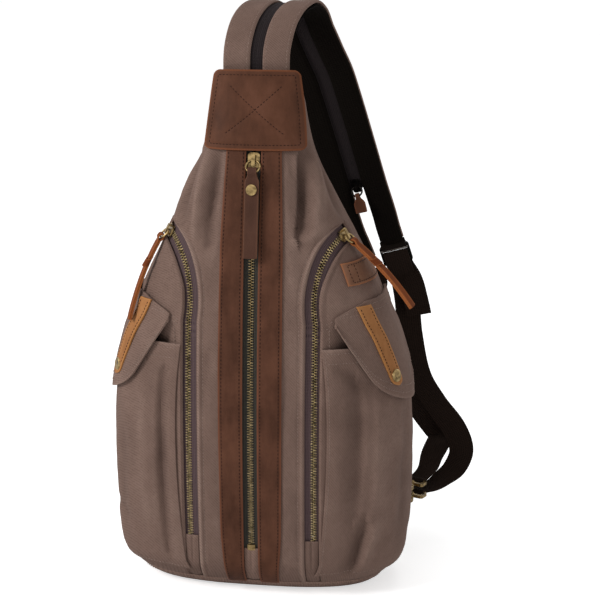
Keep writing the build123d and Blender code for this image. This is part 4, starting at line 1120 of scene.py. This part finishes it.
def tape_edges(hand):
    """A tape's two edges, in mm from the chain's middle; hand 1 is the right tape."""
    return sorted((hand * (CHAIN_WIDTH / 2 - TAPE_OVERLAP), hand * (CHAIN_WIDTH / 2 + TAPE_WIDTH)))


def tape_lift(side):
    """The tape's inner edge is rolled round a cord, under the teeth."""
    def lift(u, v):
        inner = u if side == 1 else 1 - u
        return TAPE_THICKNESS / 2 + 0.55 * exp(-((inner - 0.06) / 0.06) ** 2)
    return lift


for side, word in SIDES.items():
    tape = ribbon("centre_tape_" + word, centre_line, *tape_edges(side), tape_lift(side), TAPE_THICKNESS,
                  DARK_TAPE_CLOTH, 14)
    ends_up(tape, "bag", "zip_tape", *(["centre_zip_tapes"] if side == 1 else []))

# %% Side zips
side_shares = [0.02 + 0.92 * i / 80 for i in range(81)] + [1 + i / 60 for i in range(61)]
side_line = [side_frame(t) for t in side_shares]
low_share = (SIDE_ZIP_LOW - PANEL_LOW) / (SIDE_ARC_START - PANEL_LOW)
side_chain = [f for t, f in zip(side_shares, side_line) if low_share <= t <= 1 + SIDE_SLIDER_SHARE + 0.03]
for side, word in SIDES.items():
    turn = (lambda f: f) if side == 1 else (lambda f: (flip(f[0]), -flip(f[1]), flip(f[2]), flip(f[3])))
    line = [turn(f) for f in side_line]
    chain = [turn(f) for f in side_chain]
    ends_up(copies(word + "_zip_teeth", tooth_model, teeth_places(chain, CHAIN_WIDTH / 2), TOOTH_BRASS),
            "bag", "antique_brass", word + "_zip_chain")
    for edge, hand in (("outer", side), ("inner", -side)):
        tape = ribbon(word + "_tape_" + edge, line, *tape_edges(hand), tape_lift(hand), TAPE_THICKNESS,
                      ZIP_TAPE_CLOTH, 12)
        ends_up(tape, "bag", "zip_tape", *([word + "_zip_tapes"] if edge == "outer" else []))

# %% [markdown]
# Each zip's lower end is closed by a small folded piece of canvas, and a brass box holds the ends of
# the centre zip's two rows together. The pieces are grids laid from one edge of the gap to the other,
# because a plain rectangle would show light beside it.

# %% Zip ends
SIDE_END_TOP, CENTRE_END_TOP, END_CANVAS = 59.5, 50.0, 1.2


def zip_end_place(edges, top):
    def place(u, v):
        z = mix(PANEL_LOW + 0.5, top, v)
        (first, _), (last, _) = edges(z)
        here = mix(first, last, u)
        fold = 0.7 * sin(pi * u) - 0.9 * exp(-((u - 0.5) / 0.09) ** 2) * smooth(0.25, 0.6, v)
        return skin(here, z, -0.9 + fold - 0.5 * smooth(0.85, 1, v))
    return place


def side_end_edges(z):
    t = (z - PANEL_LOW) / (SIDE_ARC_START - PANEL_LOW)
    return zip_line(t, -SIDE_TAPE_INNER + 0.4), zip_line(t, outer_gap(t) - 0.3)


def centre_end_edges(z):
    right = angle_at(CENTRE_CHANNEL - 0.5, z)
    return (-pi - right, z), (right, z)


for word, side, edges, top, material in (("right", 1, side_end_edges, SIDE_END_TOP, CANVAS_CLOTH),
                                         ("left", -1, side_end_edges, SIDE_END_TOP, CANVAS_CLOTH),
                                         ("centre", 1, centre_end_edges, CENTRE_END_TOP, BASE_CLOTH)):
    piece = cloth("zip_end_" + word, zip_end_place(edges, top), 16, 26, END_CANVAS, material, side,
                  wear_and_shade=lambda u, v: 0.5 * smooth(0.93, 1, v) - 0.3, bevel=0.3)
    ends_up(piece, "bag", "canvas")
end_box = block_model((7.4, 6.0, 3.4), 0.7, 2)
box_seat = centre_frame(CENTRE_ZIP_LOW + 5)
places = [axes(box_seat[0] + box_seat[3] * 0.6, box_seat[1], box_seat[3])]
ends_up(copies("centre_zip_box", end_box, places, BRASS), "bag", "antique_brass")
discard(end_box)

# %% [markdown]
# Everything is sewn with a coarse thread. Leather has dark thread, canvas has thread a little paler
# than the cloth; seams that take load are sewn twice. A seam's line could be drawn as a curve and
# projected; it is simpler to ask the rule of the piece that it is sewn through for its points.

# %% Seams on the leather
def place_row(place, spots):
    """Row of (point, outward normal) at (u, v) spots of a piece's own rule."""
    row, step = [], 0.004
    for u, v in spots:
        along_u = place(min(u + step, 1), v) - place(max(u - step, 0), v)
        along_v = place(u, min(v + step, 1)) - place(u, max(v - step, 0))
        row.append((place(u, v), along_u.cross(along_v).normalized()))
    return row


def run(u0, v0, u1, v1, count=40):
    return [(mix(u0, u1, i / count), mix(v0, v1, i / count)) for i in range(count + 1)]


inset_u, inset_v = SEAM_INSET / PATCH_ACROSS, SEAM_INSET / PATCH_UP
border = [run(inset_u, inset_v, 1 - inset_u, inset_v), run(1 - inset_u, inset_v, 1 - inset_u, 1 - inset_v),
          run(1 - inset_u, 1 - inset_v, inset_u, 1 - inset_v), run(inset_u, 1 - inset_v, inset_u, inset_v)]
cross = [run(0.2, 0.2, 0.8, 0.8), run(0.2, 0.8, 0.8, 0.2)]
stitch_rows("yoke_stitches", [place_row(patch_place, path) for path in border + cross], 3.2, leather=True)
rows = []
for side in SIDES:
    rule = turned_over(side, strip_place(side))
    rows += [place_row(rule, run(u, 0.01, u, 0.985, 160)) for u in (0.13, 0.87)]
stitch_rows("leather_strap_stitches", rows, leather=True)
rows = [place_row(tab_place, path) for path in (run(0.1, 0.12, 0.1, 0.88), run(0.1, 0.88, 0.96, 0.88),
                                                run(0.1, 0.12, 0.96, 0.12), run(0.24, 0.12, 0.24, 0.88))]
stitch_rows("side_tab_stitches", rows, 3.0, leather=True)
for side, word in SIDES.items():
    rule = turned_over(side, flap_strip_place(side))
    rows = [place_row(rule, run(u, 0.16, u, 0.97)) for u in (0.16, 0.84)]
    stitch_rows("flap_leather_stitches_" + word, rows, 3.2, word + "_flap", leather=True)

# %% Seams on the canvas
def sunk(side):
    """Depth of a seam beside the pocket: it follows the cloth where that is pushed in."""
    return lambda a, z: (relief(side, a, z) * (1 - smooth(0, 3, pocket_setback(a, z)))
                         - pocket_setback(a, z) - 0.1)


for side, word in SIDES.items():
    rule = turned_over(side, flap_place(side))
    rows = [place_row(rule, run(0.04, v, 0.96, v, 80)) for v in (0.06, 0.13, 0.9, 0.96)]
    stitch_rows("flap_stitches_" + word, rows, 3.2, word + "_flap")
    rule = turned_over(side, pocket_place(side))
    paths = ((0.03, 0.982, 0.97, 0.982), (0.03, 0.94, 0.97, 0.94), (0.02, 0.02, 0.02, 0.97),
             (0.02, 0.015, 0.98, 0.015))
    rows = [place_row(rule, run(*path, 80)) for path in paths]
    stitch_rows("pocket_stitches_" + word, rows, 3.2)
    rows = []
    for offset in (-SIDE_TAPE_INNER - 6, SIDE_TAPE_OUTER + 6):
        track = [zip_line(0.03 + 1.9 * i / 160, offset) for i in range(161)]
        rows.append(row_on_skin(side, track, lambda a, z: relief(side, a, z) - 0.45))
    seam_start = zip_line(0.98, SIDE_TAPE_OUTER + 2)[0]
    for drop in (0, 4):
        track = [(mix(seam_start, FLAP_FRONT, i / 20), mix(264, 268, i / 20) - drop) for i in range(21)]
        rows.append(row_on_skin(side, track, sunk(side)))
    stitch_rows("zip_stitches_" + word, rows)
rows = [row_on_skin(1, [(2 * pi * i / 240, 9.0) for i in range(241)], lambda a, z: 1.0)]
stitch_rows("base_stitches", rows, 3.6)
rows = []
for side in SIDES:
    track = [(BACK_SEAM + radians(3.2), mix(20, 470, i / 120)) for i in range(121)]
    rows.append(row_on_skin(side, track, lambda a, z: 0.3))
stitch_rows("back_stitches", rows, 3.6)

# %% [markdown]
# The sliders, rings, hooks and buckles have their true shape already, so they stay and get a worn
# plate finish and slightly broken edges, which catch the light. The tabs that hold the rings and the
# loops at the strap's ends stay too, in black cloth. Nothing on them is moved.

# %% Finishes for the carried-over metal
def refinish(node, material):
    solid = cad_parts[node]
    solid.data.materials.clear()
    solid.data.materials.append(material)
    break_edges(solid, "worn_edges", 0.25, 35)
    print(node, "is now", material.name)


for node in ("centre_slider", "left_slider", "right_slider", "centre_pull_metal", "left_pull_ring",
             "right_pull_ring", "snap_cap_left", "snap_cap_right", "snap_sockets", "left_d_ring",
             "right_d_ring", "hook_loops", "outer_hook", "inner_hook", "outer_hook_gate", "inner_hook_gate"):
    refinish(node, BRASS)
for node in ("outer_buckle", "inner_buckle", "strap_slider", "strap_pull_ring"):
    refinish(node, BLACK_METAL)
for node in ("d_ring_tabs", "strap_end_loops"):
    refinish(node, LOOP_CLOTH)

# %% [markdown]
# The pulls are leather folded through a ring and pinned. Each is a band that follows its own line:
# up behind, over the ring's wire, and down in front, thinner where it is skived to fold. A bend
# modifier can't fold so tightly without creasing, so the line is worked out from the ring's size.

# %% Pull frames
def frame_matrix(pivot, axis, hang):
    """Local x along the ring's axis, y opposite to the way the pull hangs, z outwards."""
    up = -hang.normalized()
    return Matrix.Translation(pivot) @ Matrix((axis, up, axis.cross(up))).transposed().to_4x4()


def pull_pivot(seat, chain_thickness):
    """Middle of the bar on a slider's top plate: half the chain, the gap, the plate and the bar's height."""
    return seat[0] + seat[3] * (chain_thickness / 2 + 0.3 + 1.2 + 1.25)


RING_WIRE_RADIUS, FOLD_PLAY = 0.9, 0.2


def folded_pull(name, matrix, ring_radius, width, length, neck, droop, material, ply=1.5, side=1,
                sway=0.0, bend=0.0, lean=0.0):
    """droop and bend are in degrees, all else in mm; neck is the width where it is folded."""
    sag = ring_radius - sqrt(ring_radius**2 - (neck / 2)**2)
    eye = RING_WIRE_RADIUS + sag + FOLD_PLAY
    centre = -2 * ring_radius + sag / 2
    turn = matrix @ Matrix.Translation((0, centre, 0)) @ Matrix.Rotation(radians(droop), 4, "X")
    arc = eye + ply / 2
    outer = eye + 1.6
    low = -(outer - 1 + length)
    half = ply / 2 + 0.08
    back = [(low, -half), (low * 0.6, -half), (-outer - 4, -half - 0.05), (-outer + 0.2, -half - 0.5),
            (-1.0, -arc * 0.93), (arc * 0.75, -arc * 0.7)]
    line = back + [(arc, 0)] + [(y, -z) for y, z in reversed(back)]
    knots = [(i / (len(line) - 1), Vector((0, y, z))) for i, (y, z) in enumerate(line)]

    def place(u, v):
        point = curve_value(knots, v)
        wide = mix(neck, width, smooth(outer - 2, outer + 5, -point.y))
        tip = 1 - 0.35 * smooth(-low - 2.0, -low, -point.y) * abs(2 * u - 1) ** 3
        share = min(max(point.y / low, 0), 1)
        bow = sway * sin(pi * share) * 2.0 + lean * share**1.5
        curl = Matrix.Rotation(radians(bend) * share, 4, "X")
        x = (u - 0.5) * wide * (0.97 + 0.03 * tip) + bow
        return turn @ curl @ Vector((x, point.y * (1 - 0.02 * (1 - tip)), point.z))

    def wear_and_shade(u, v):
        return edge_rub(u, 0.5, width, 50, 1.3) + 0.15 * smooth(0.35, 0.5, 1 - abs(v - 0.5))
    piece = lay_grid(name, turned_over(side, place), 12, 90, wear_and_shade)
    return thicken(piece, ply, material, 0.3, both=True)


CENTRE_PULL_TILT, CENTRE_PULL_DROOP = 27, 29
seat = centre_frame(CENTRE_ZIP_HIGH)
hang = seat[2] * -cos(radians(CENTRE_PULL_TILT)) + seat[3] * sin(radians(CENTRE_PULL_TILT))
matrix = frame_matrix(pull_pivot(seat, CHAIN_THICKNESS), X, hang)
pull = folded_pull("centre_leather_pull", matrix, 6.2, 12.6, 73.0, 8.0, CENTRE_PULL_DROOP, PULL_LEATHER)
ends_up(pull, "centre_pull", "brown_leather", "centre_pull_leather")

# %% [markdown]
# The side zips have long russet laces, folded through the ring and held by a wrap of the same
# leather. They could hang by simulation, but a lace keeps the curl it was carried with: each leans
# and bends by a few given degrees, the left one in towards the bag.

# %% Side laces
seat = side_frame(1 + SIDE_SLIDER_SHARE)
down = (Z * -1 + seat[2] * Z.dot(seat[2])).normalized()
side_out = down.cross(seat[2])
side_out = side_out if side_out.dot(seat[3]) > 0 else side_out * -1
for side, word, tilt, droop, bend, lean in ((-1, "left", 46, 17, 6, -20), (1, "right", 50, 0, 8, 0)):
    hang = down * cos(radians(tilt)) + side_out * sin(radians(tilt))
    matrix = frame_matrix(pull_pivot(seat, CHAIN_THICKNESS), seat[2], hang)
    lace = folded_pull(word + "_leather_lace", matrix, 5.0, 7.5, 76.0, 5.0, droop, LACE_LEATHER, 1.5,
                       side, 0.6, bend, lean)
    knot_turn = matrix @ Matrix.Translation((0, -9.3, 0)) @ Matrix.Rotation(radians(droop), 4, "X")

    def knot_place(u, v):
        turn = 2 * pi * u
        along = mix(-22, -30, v) - 2.2 * sin(turn)
        return knot_turn @ Vector((4.4 * cos(turn) + lean * 0.19, along,
                                   2.6 * sin(turn) + 0.2 * cos(turn * 3)))
    wrap = lay_grid(word + "_lace_wrap", turned_over(side, knot_place), 28, 8,
                    wear_and_shade=lambda u, v: edge_rub(0.5, v, 8, 8, 1.0))
    weld(wrap, turn_out=True)
    thicken(wrap, 0.9, LACE_LEATHER, 0.2)
    ends_up(wrap, word + "_pull", "tan_leather")
    ends_up(lace, word + "_pull", "tan_leather", word + "_pull_lace")

# %% [markdown]
# The shoulder strap is two canvas straps, each padded with black mesh on the side that lies on the
# shoulder, joined down their middle by a zip. It rises from the yoke, goes over the top and down
# behind, where it parts into two ends. Each end has a buckle and a length of webbing.

# %% Strap line
STRAP_WIDTH, STRAP_FACE, STRAP_PAD, STRAP_SPLIT = 59.5, 1.8, 5.2, 5.4
STRAP_TAPE, TAPE_MIDDLE = 0.6, 1.3     # the tape's thickness, and its height over the strap's line
STRAP_CHAIN_WIDTH, STRAP_CHAIN_THICKNESS, STRAP_TAPE_WIDTH = 6.0, 2.2, 9.0
STRAP_ROUTE = [(-1.5, -29, 448), (-1.5, -30, 480), (-1, -28, 502), (3, -17, 522), (9.5, 4, 534.5),
               (17, 28, 537), (23, 48, 527), (28, 61, 509), (36, 70.5, 488), (46, 80, 463), (76, 111, 355)]
HALVES = {"outer": (1, [(101.5, 117.5, 331), (105.5, 120.5, 316), (109.5, 123, 303)]),
          "inner": (-1, [(65, 118, 328), (71, 122, 309), (77, 125.5, 294), (82, 128, 281)])}


def route_knots(points):
    points = [Vector(p) for p in points]
    knots, t = [(0.0, points[0])], 0.0
    for a, b in zip(points, points[1:]):
        t += (b - a).length
        knots.append((t, b))
    return knots


def frame_at(route, t, facing):
    point = curve_value(route, t)
    step = 1e-3 * (route[-1][0] - route[0][0])
    forward = (curve_value(route, t + step) - curve_value(route, t - step)).normalized()
    across = forward.cross(facing).normalized()
    return point, across, forward, across.cross(forward)


MAIN = route_knots(STRAP_ROUTE)


def facing_out(t):
    forward = (curve_value(MAIN, t + 0.5) - curve_value(MAIN, t - 0.5)).normalized()
    return forward.cross(X - forward * X.dot(forward)).normalized() * -1


main_line = [frame_at(MAIN, t, facing_out(t)) for t in (MAIN[-1][0] * i / 150 for i in range(151))]
print("strap is", round(MAIN[-1][0]), "mm long before it parts")


def half_line(name):
    side, ends = HALVES[name]
    offset = side * (STRAP_WIDTH / 2 + STRAP_SPLIT) / 2
    point, across, forward, out = main_line[-1]
    own = route_knots([point + across * offset - forward * 6, point + across * offset] + ends)
    tail = [frame_at(own, 8 + (own[-1][0] - 8) * i / 30, out) for i in range(31)]
    return [(p + a * offset, a, f, o) for p, a, f, o in main_line[:-1]] + tail


def strap_edge(u, width, rise):
    gap = min(u, 1 - u) * width
    return -rise * (1 - smooth(0, 2.4, gap)) - 0.35 * exp(-((gap - 3.2) / 0.7) ** 2)


half_width = (STRAP_WIDTH / 2 - STRAP_SPLIT) / 2
face_low = TAPE_MIDDLE + STRAP_TAPE / 2 + LAYER_GAP
pad_top = TAPE_MIDDLE - 0.3 - STRAP_TAPE / 2
for name in HALVES:
    line = half_line(name)
    face = ribbon("strap_" + name + "_canvas", line, -half_width, half_width,
                  lambda u, v: face_low + STRAP_FACE + 0.5 + strap_edge(u, 2 * half_width, 1.1)
                  + 0.25 * noise.noise(Vector((u * 2, v * 22, 4.1))), STRAP_FACE + 0.3, CANVAS_CLOTH, 26, 0.4,
                  wear_and_shade=lambda u, v: edge_rub(u, 0.5, 26, 50, 1.2) * 0.7)
    ends_up(face, "bag", "canvas", "strap_face_" + name)

    def under(u, v):
        crown = 1 - abs(2 * u - 1) ** 5
        return pad_top - STRAP_PAD * (0.35 + 0.65 * crown) - 0.3 * noise.noise(Vector((u * 3, v * 30, 8.8)))
    turned_line = [(p, a * -1, f, o * -1) for p, a, f, o in line]
    pad = ribbon("strap_" + name + "_pad", turned_line, -half_width + 0.5, half_width - 0.5,
                 lambda u, v: -under(u, v), 1.4, MESH_CLOTH, 24, 0.3)
    ends_up(pad, "bag", "black_mesh", "strap_pad_" + name)

# %% Strap seams
rows = []
for name in HALVES:
    line = half_line(name)
    for share in (0.125, 0.875):
        offset = mix(-half_width, half_width, share)
        rows.append([(p + a * offset + o * (face_low + STRAP_FACE + 0.2), o) for p, a, f, o in line])
stitch_rows("strap_stitches", rows)

# %% [markdown]
# The strap's zip is a coil zip: each tape carries a coil of nylon in place of teeth. A long helix
# would be true to it; single turns made from a small torus look the same from here, with far fewer
# faces. The slider's pull is a short leather tab, folded like the others.

# %% Strap zip
lifted = [(p + o * TAPE_MIDDLE, a, f, o) for p, a, f, o in main_line]
for side in (-1, 1):
    left, right = sorted((side * -0.3, side * (STRAP_CHAIN_WIDTH / 2 + STRAP_TAPE_WIDTH)))
    tape = ribbon("strap_tape_" + ("left", "right")[side > 0], lifted, left, right,
                  lambda u, v: STRAP_TAPE / 2 + 0.05 * side, STRAP_TAPE, STRAP_TAPE_CLOTH, 8)
    ends_up(tape, "bag", "zip_tape", *(["strap_zip_tapes"] if side == 1 else []))
deselect()
bpy.ops.mesh.primitive_torus_add(major_segments=12, minor_segments=5, major_radius=1.35, minor_radius=0.42)
coil_model = stretched((0.55, 1.1, 0.85))
coil_model.data.transform(Matrix.Rotation(radians(18), 4, "Z"))
coil_places = teeth_places(lifted[10:147], STRAP_CHAIN_WIDTH / 2 + 1.3, 1.9)
ends_up(copies("strap_zip_coil", coil_model, coil_places, COIL_NYLON), "bag", "gunmetal", "strap_zip_chain")
discard(coil_model)

# %% Strap slider's tab
seat_t = MAIN[-1][0] - 4
p, a, f, o = frame_at(MAIN, seat_t, facing_out(seat_t))
strap_seat = (p + o * TAPE_MIDDLE, a * -1, f, o * -1)
hang = strap_seat[2] * cos(radians(42)) + strap_seat[3] * sin(radians(42))
matrix = frame_matrix(pull_pivot(strap_seat, STRAP_CHAIN_THICKNESS), strap_seat[1] * -1, hang)
pull = folded_pull("strap_leather_pull", matrix, 5.0, 11.0, 15.0, 4.0, 32, BROWN_LEATHER, 1.4)
ends_up(pull, "strap_pull", "tan_leather", "strap_pull_tab")

# %% [markdown]
# Webbing is a flat woven band, so it is modelled directly: it turns round the buckle's middle bar,
# hangs in a long curve behind the bag, rolls over and ends sewn round its hook's loop. A simulation
# would let a band this narrow curl up, so its points and the way it faces are given instead.

# %% Webbing
BUCKLE_BAR, BUCKLE_THICKNESS, BUCKLE_LENGTH, BUCKLE_RAIL = 3.0, 2.4, 21.0, 3.6
LOOP_WALL, LOOP_PLAY = 1.3, 0.2
BAR_EYE = sqrt((BUCKLE_BAR / 2)**2 + (BUCKLE_THICKNESS / 2)**2) + LOOP_PLAY
WEBBING_WIDTH, WEBBING_END_WIDTH = 25.0, 19.0
STRANDS = {
    "outer": (-1, [(121, 133, 262), (125, 137, 239), (129, 142, 201), (139, 146, 158), (157, 148, 127),
                   (176, 146, 102), (184, 139, 82), (178, 130, 66), (166, 119, 57), (156, 110, 52)],
              [(128, 129.5, 262), (134, 128, 243), (138, 127, 226)]),
    "inner": (1, [(90, 141.5, 242.5), (96, 147.5, 222), (107, 152, 188), (118, 157.5, 153), (138, 160, 119),
                  (155, 160, 99), (163, 155.5, 92.5), (160, 145, 87), (154.5, 129, 78), (151, 113, 69.5)],
              [(91, 127, 250), (96, 126, 236)]),
}
TWISTS = {"outer": [(.55, (.35, .9, -.1)), (.78, (.2, .75, -.6))],
          "inner": [(.55, (.5, .8, -.1)), (.66, (.5, .75, -.3)), (.8, (.1, .6, -.7))]}
RING_WAY = Vector((0.4, 0.9165, 0))
RING_HEIGHT, RING_STANDOFF, RING_RADIUS, RING_WIRE = 56.25, 11.0, 15.0, 1.9
RING_OUT = RING_WAY.normalized()
RING_BAR_CENTRE = skin(BACK_SEAM, RING_HEIGHT, LAYER_GAP) + RING_WAY * RING_STANDOFF
HOOK_SPACING, HOOK_LOOP_LENGTH, HOOK_BAR = 12.5, 13.0, 3.0
HOOK_INNER, HOOK_OUTER, HOOK_COLLAR = 6.2, 9.0, 2.5
BOW_REACH = sqrt(RING_RADIUS**2 - (HOOK_SPACING / 2)**2)
HOOK_CENTRE = HOOK_LOOP_LENGTH / 2 + 1.3 + HOOK_COLLAR + HOOK_OUTER - 0.8


def hook_bar(level):
    """Middle of the hook loop's far bar, and the direction from it to the ring."""
    wire = RING_BAR_CENTRE + RING_OUT * BOW_REACH + Z * (level * HOOK_SPACING / 2)
    origin = wire + RING_OUT * (HOOK_CENTRE + HOOK_INNER - RING_WIRE - 2.0)
    return origin + RING_OUT * (HOOK_LOOP_LENGTH - HOOK_BAR) / 2, RING_OUT * -1


print("the lower ring's bar is at", [round(c) for c in RING_BAR_CENTRE], "mm")

# %% Webbing strands
for name, (level, points, tail_points) in STRANDS.items():
    end, across, forward, out = half_line(name)[-1]
    top = end + forward * (BAR_EYE + LOOP_WALL + 3)
    middle = top + forward * ((BUCKLE_LENGTH - BUCKLE_BAR) / 2)
    bar, to_ring = hook_bar(level)
    wrap = BAR_EYE + LOOP_WALL / 2
    reach = HOOK_BAR / 2 * sqrt(2) + LOOP_PLAY + LOOP_WALL / 2
    start = middle - out * wrap
    route = route_knots([start, start + forward * 14] + points + [bar - to_ring * 6, bar - to_ring * 2.6])
    total = route[-1][0]
    facing = [(0, out), (total * .25, out), *((total * share, Vector(way)) for share, way in TWISTS[name]),
              (total * .93, Vector((0, .2, -1))), (total, Z * -1)]
    line = [frame_at(route, total * i / 160, curve_value(facing, total * i / 160)) for i in range(161)]
    widths = [(0, WEBBING_WIDTH), (.8, WEBBING_WIDTH), (.96, WEBBING_END_WIDTH), (1, WEBBING_END_WIDTH)]
    band = ribbon(name + "_strand", line, lambda v: -curve_value(widths, v) / 2,
                  lambda v: curve_value(widths, v) / 2,
                  lambda u, v: LOOP_WALL / 2 - 0.3 * abs(2 * u - 1) ** 6, LOOP_WALL, WEBBING_CLOTH, 18, 0.3)
    ends_up(band, "bag", "black_webbing", name + "_webbing")
    tail = route_knots([middle + out * wrap, middle + out * (wrap + 2.4) + forward * 7,
                        middle + out * (wrap + 3.4) + forward * 14] + tail_points)
    length = tail[-1][0]
    tail_line = [frame_at(tail, length * i / 50, out) for i in range(51)]
    piece = ribbon(name + "_tail", tail_line, -WEBBING_WIDTH / 2, WEBBING_WIDTH / 2,
                   lambda u, v: LOOP_WALL / 2 + 1.1 * smooth(0.86, 0.88, v) - 0.3 * abs(2 * u - 1) ** 6,
                   LOOP_WALL, WEBBING_CLOTH, 18, 0.3)
    ends_up(piece, "bag", "black_webbing")
    for label, centre, axis, radius, width, ahead in (
            ("bar", middle, across, wrap, WEBBING_WIDTH, out),
            ("hook", bar, RING_OUT.cross(Z), reach, WEBBING_END_WIDTH, Z)):
        side_way = axis.normalized()
        ahead = ahead.normalized()
        other = side_way.cross(ahead)

        def round_bar(u, v):
            turn = 2 * pi * v
            spoke = ahead * cos(turn) + other * sin(turn)
            return centre + side_way * (u - 0.5) * width + spoke * (radius + LOOP_WALL / 2)
        ring = lay_grid(name + "_turn_" + label, round_bar, 14, 28)
        weld(ring, 0.02, turn_out=True)
        thicken(ring, LOOP_WALL, WEBBING_CLOTH, 0.2)
        ends_up(ring, "bag", "black_webbing")

# %% [markdown]
# The outer buckle's front bar is rubbed bright by the webbing that runs over it. The buckle is not
# repainted in parts: a thin bright rod is laid on its bar.

# %% Buckle bar
end, across, forward, out = half_line("outer")[-1]
bpy.ops.mesh.primitive_cylinder_add(vertices=24, radius=1.5 * MM, depth=(WEBBING_WIDTH + 2.5) * MM)
bar = bpy.context.object
bar.name = "outer_buckle_bar"
place = Matrix((forward, out, across)).transposed().to_4x4()
bar.data.transform(Matrix.Translation((end + forward * (BAR_EYE + LOOP_WALL + 3 + BUCKLE_RAIL)) * MM) @ place)
bar.data.materials.append(BRIGHT_METAL)
bpy.ops.object.shade_smooth_by_angle(angle=radians(40))
ends_up(bar, "outer_buckle", "gunmetal")

# %% [markdown]
# The floor is a plain pale sheet that runs back to a pale world. The world shows white only to the
# camera, and to rays that mirror or pass through; the light on the bag is softer than that.

# %% Floor, world and lamps
FLOOR_GLOW, WORLD_LIGHT, WORLD_SEEN = 0.58, 0.42, 0.6     # seen is added to light
deselect()
bpy.ops.mesh.primitive_plane_add(size=14, location=(0, 0, 0))
ground = bpy.context.object
ground.name = "floor"
material, tree, shader = start_material("white_studio_floor", 0.9)
rays = add_node(tree, "LightPath")
glow = add_node(tree, "Math", {0: rays.outputs["Is Camera Ray"], 1: FLOOR_GLOW}, operation="MULTIPLY")
feed(tree, shader, {"Base Color": linear("#f8f8f8"), "Emission Color": (1, 1, 1, 1),
                    "Emission Strength": glow.outputs[0]})
ground.data.materials.append(material)

world = bpy.data.worlds.new("pale_studio")
bpy.context.scene.world = world
world.use_nodes = True
tree = world.node_tree
rays = add_node(tree, "LightPath").outputs
seen = add_node(tree, "Math", {0: rays["Is Camera Ray"], 1: rays["Is Glossy Ray"]}, operation="MAXIMUM")
seen = add_node(tree, "Math", {0: seen.outputs[0], 1: rays["Is Transmission Ray"]}, operation="MAXIMUM")
level = add_node(tree, "Math", {0: seen.outputs[0], 1: WORLD_SEEN, 2: WORLD_LIGHT}, operation="MULTIPLY_ADD")
feed(tree, tree.nodes["Background"], {"Color": (1, 1, 1, 1), "Strength": level.outputs[0]})


LIT_POINT = Vector((0.03, 0, 0.28))


def lamp(name, location, size, power):
    bpy.ops.object.light_add(type="AREA", location=location)
    new = bpy.context.object
    new.name = name
    new.data.size = size
    new.data.energy = power
    new.rotation_euler = (LIT_POINT - Vector(location)).to_track_quat("-Z", "Y").to_euler()
    print("lamp", name, power, "W")


lamp("key_left", (-1.35, -1.05, 1.25), 0.6, 21)
lamp("fill_right", (1.5, -1.0, 0.7), 1.2, 2.5)
lamp("top_back", (0.2, 1.0, 1.6), 1.0, 6)
bpy.context.scene.view_settings.view_transform = "Standard"

# %% [markdown]
# The models that were copied are removed.

# %% Close
for model in (stitch_model, tooth_model):
    discard(model)
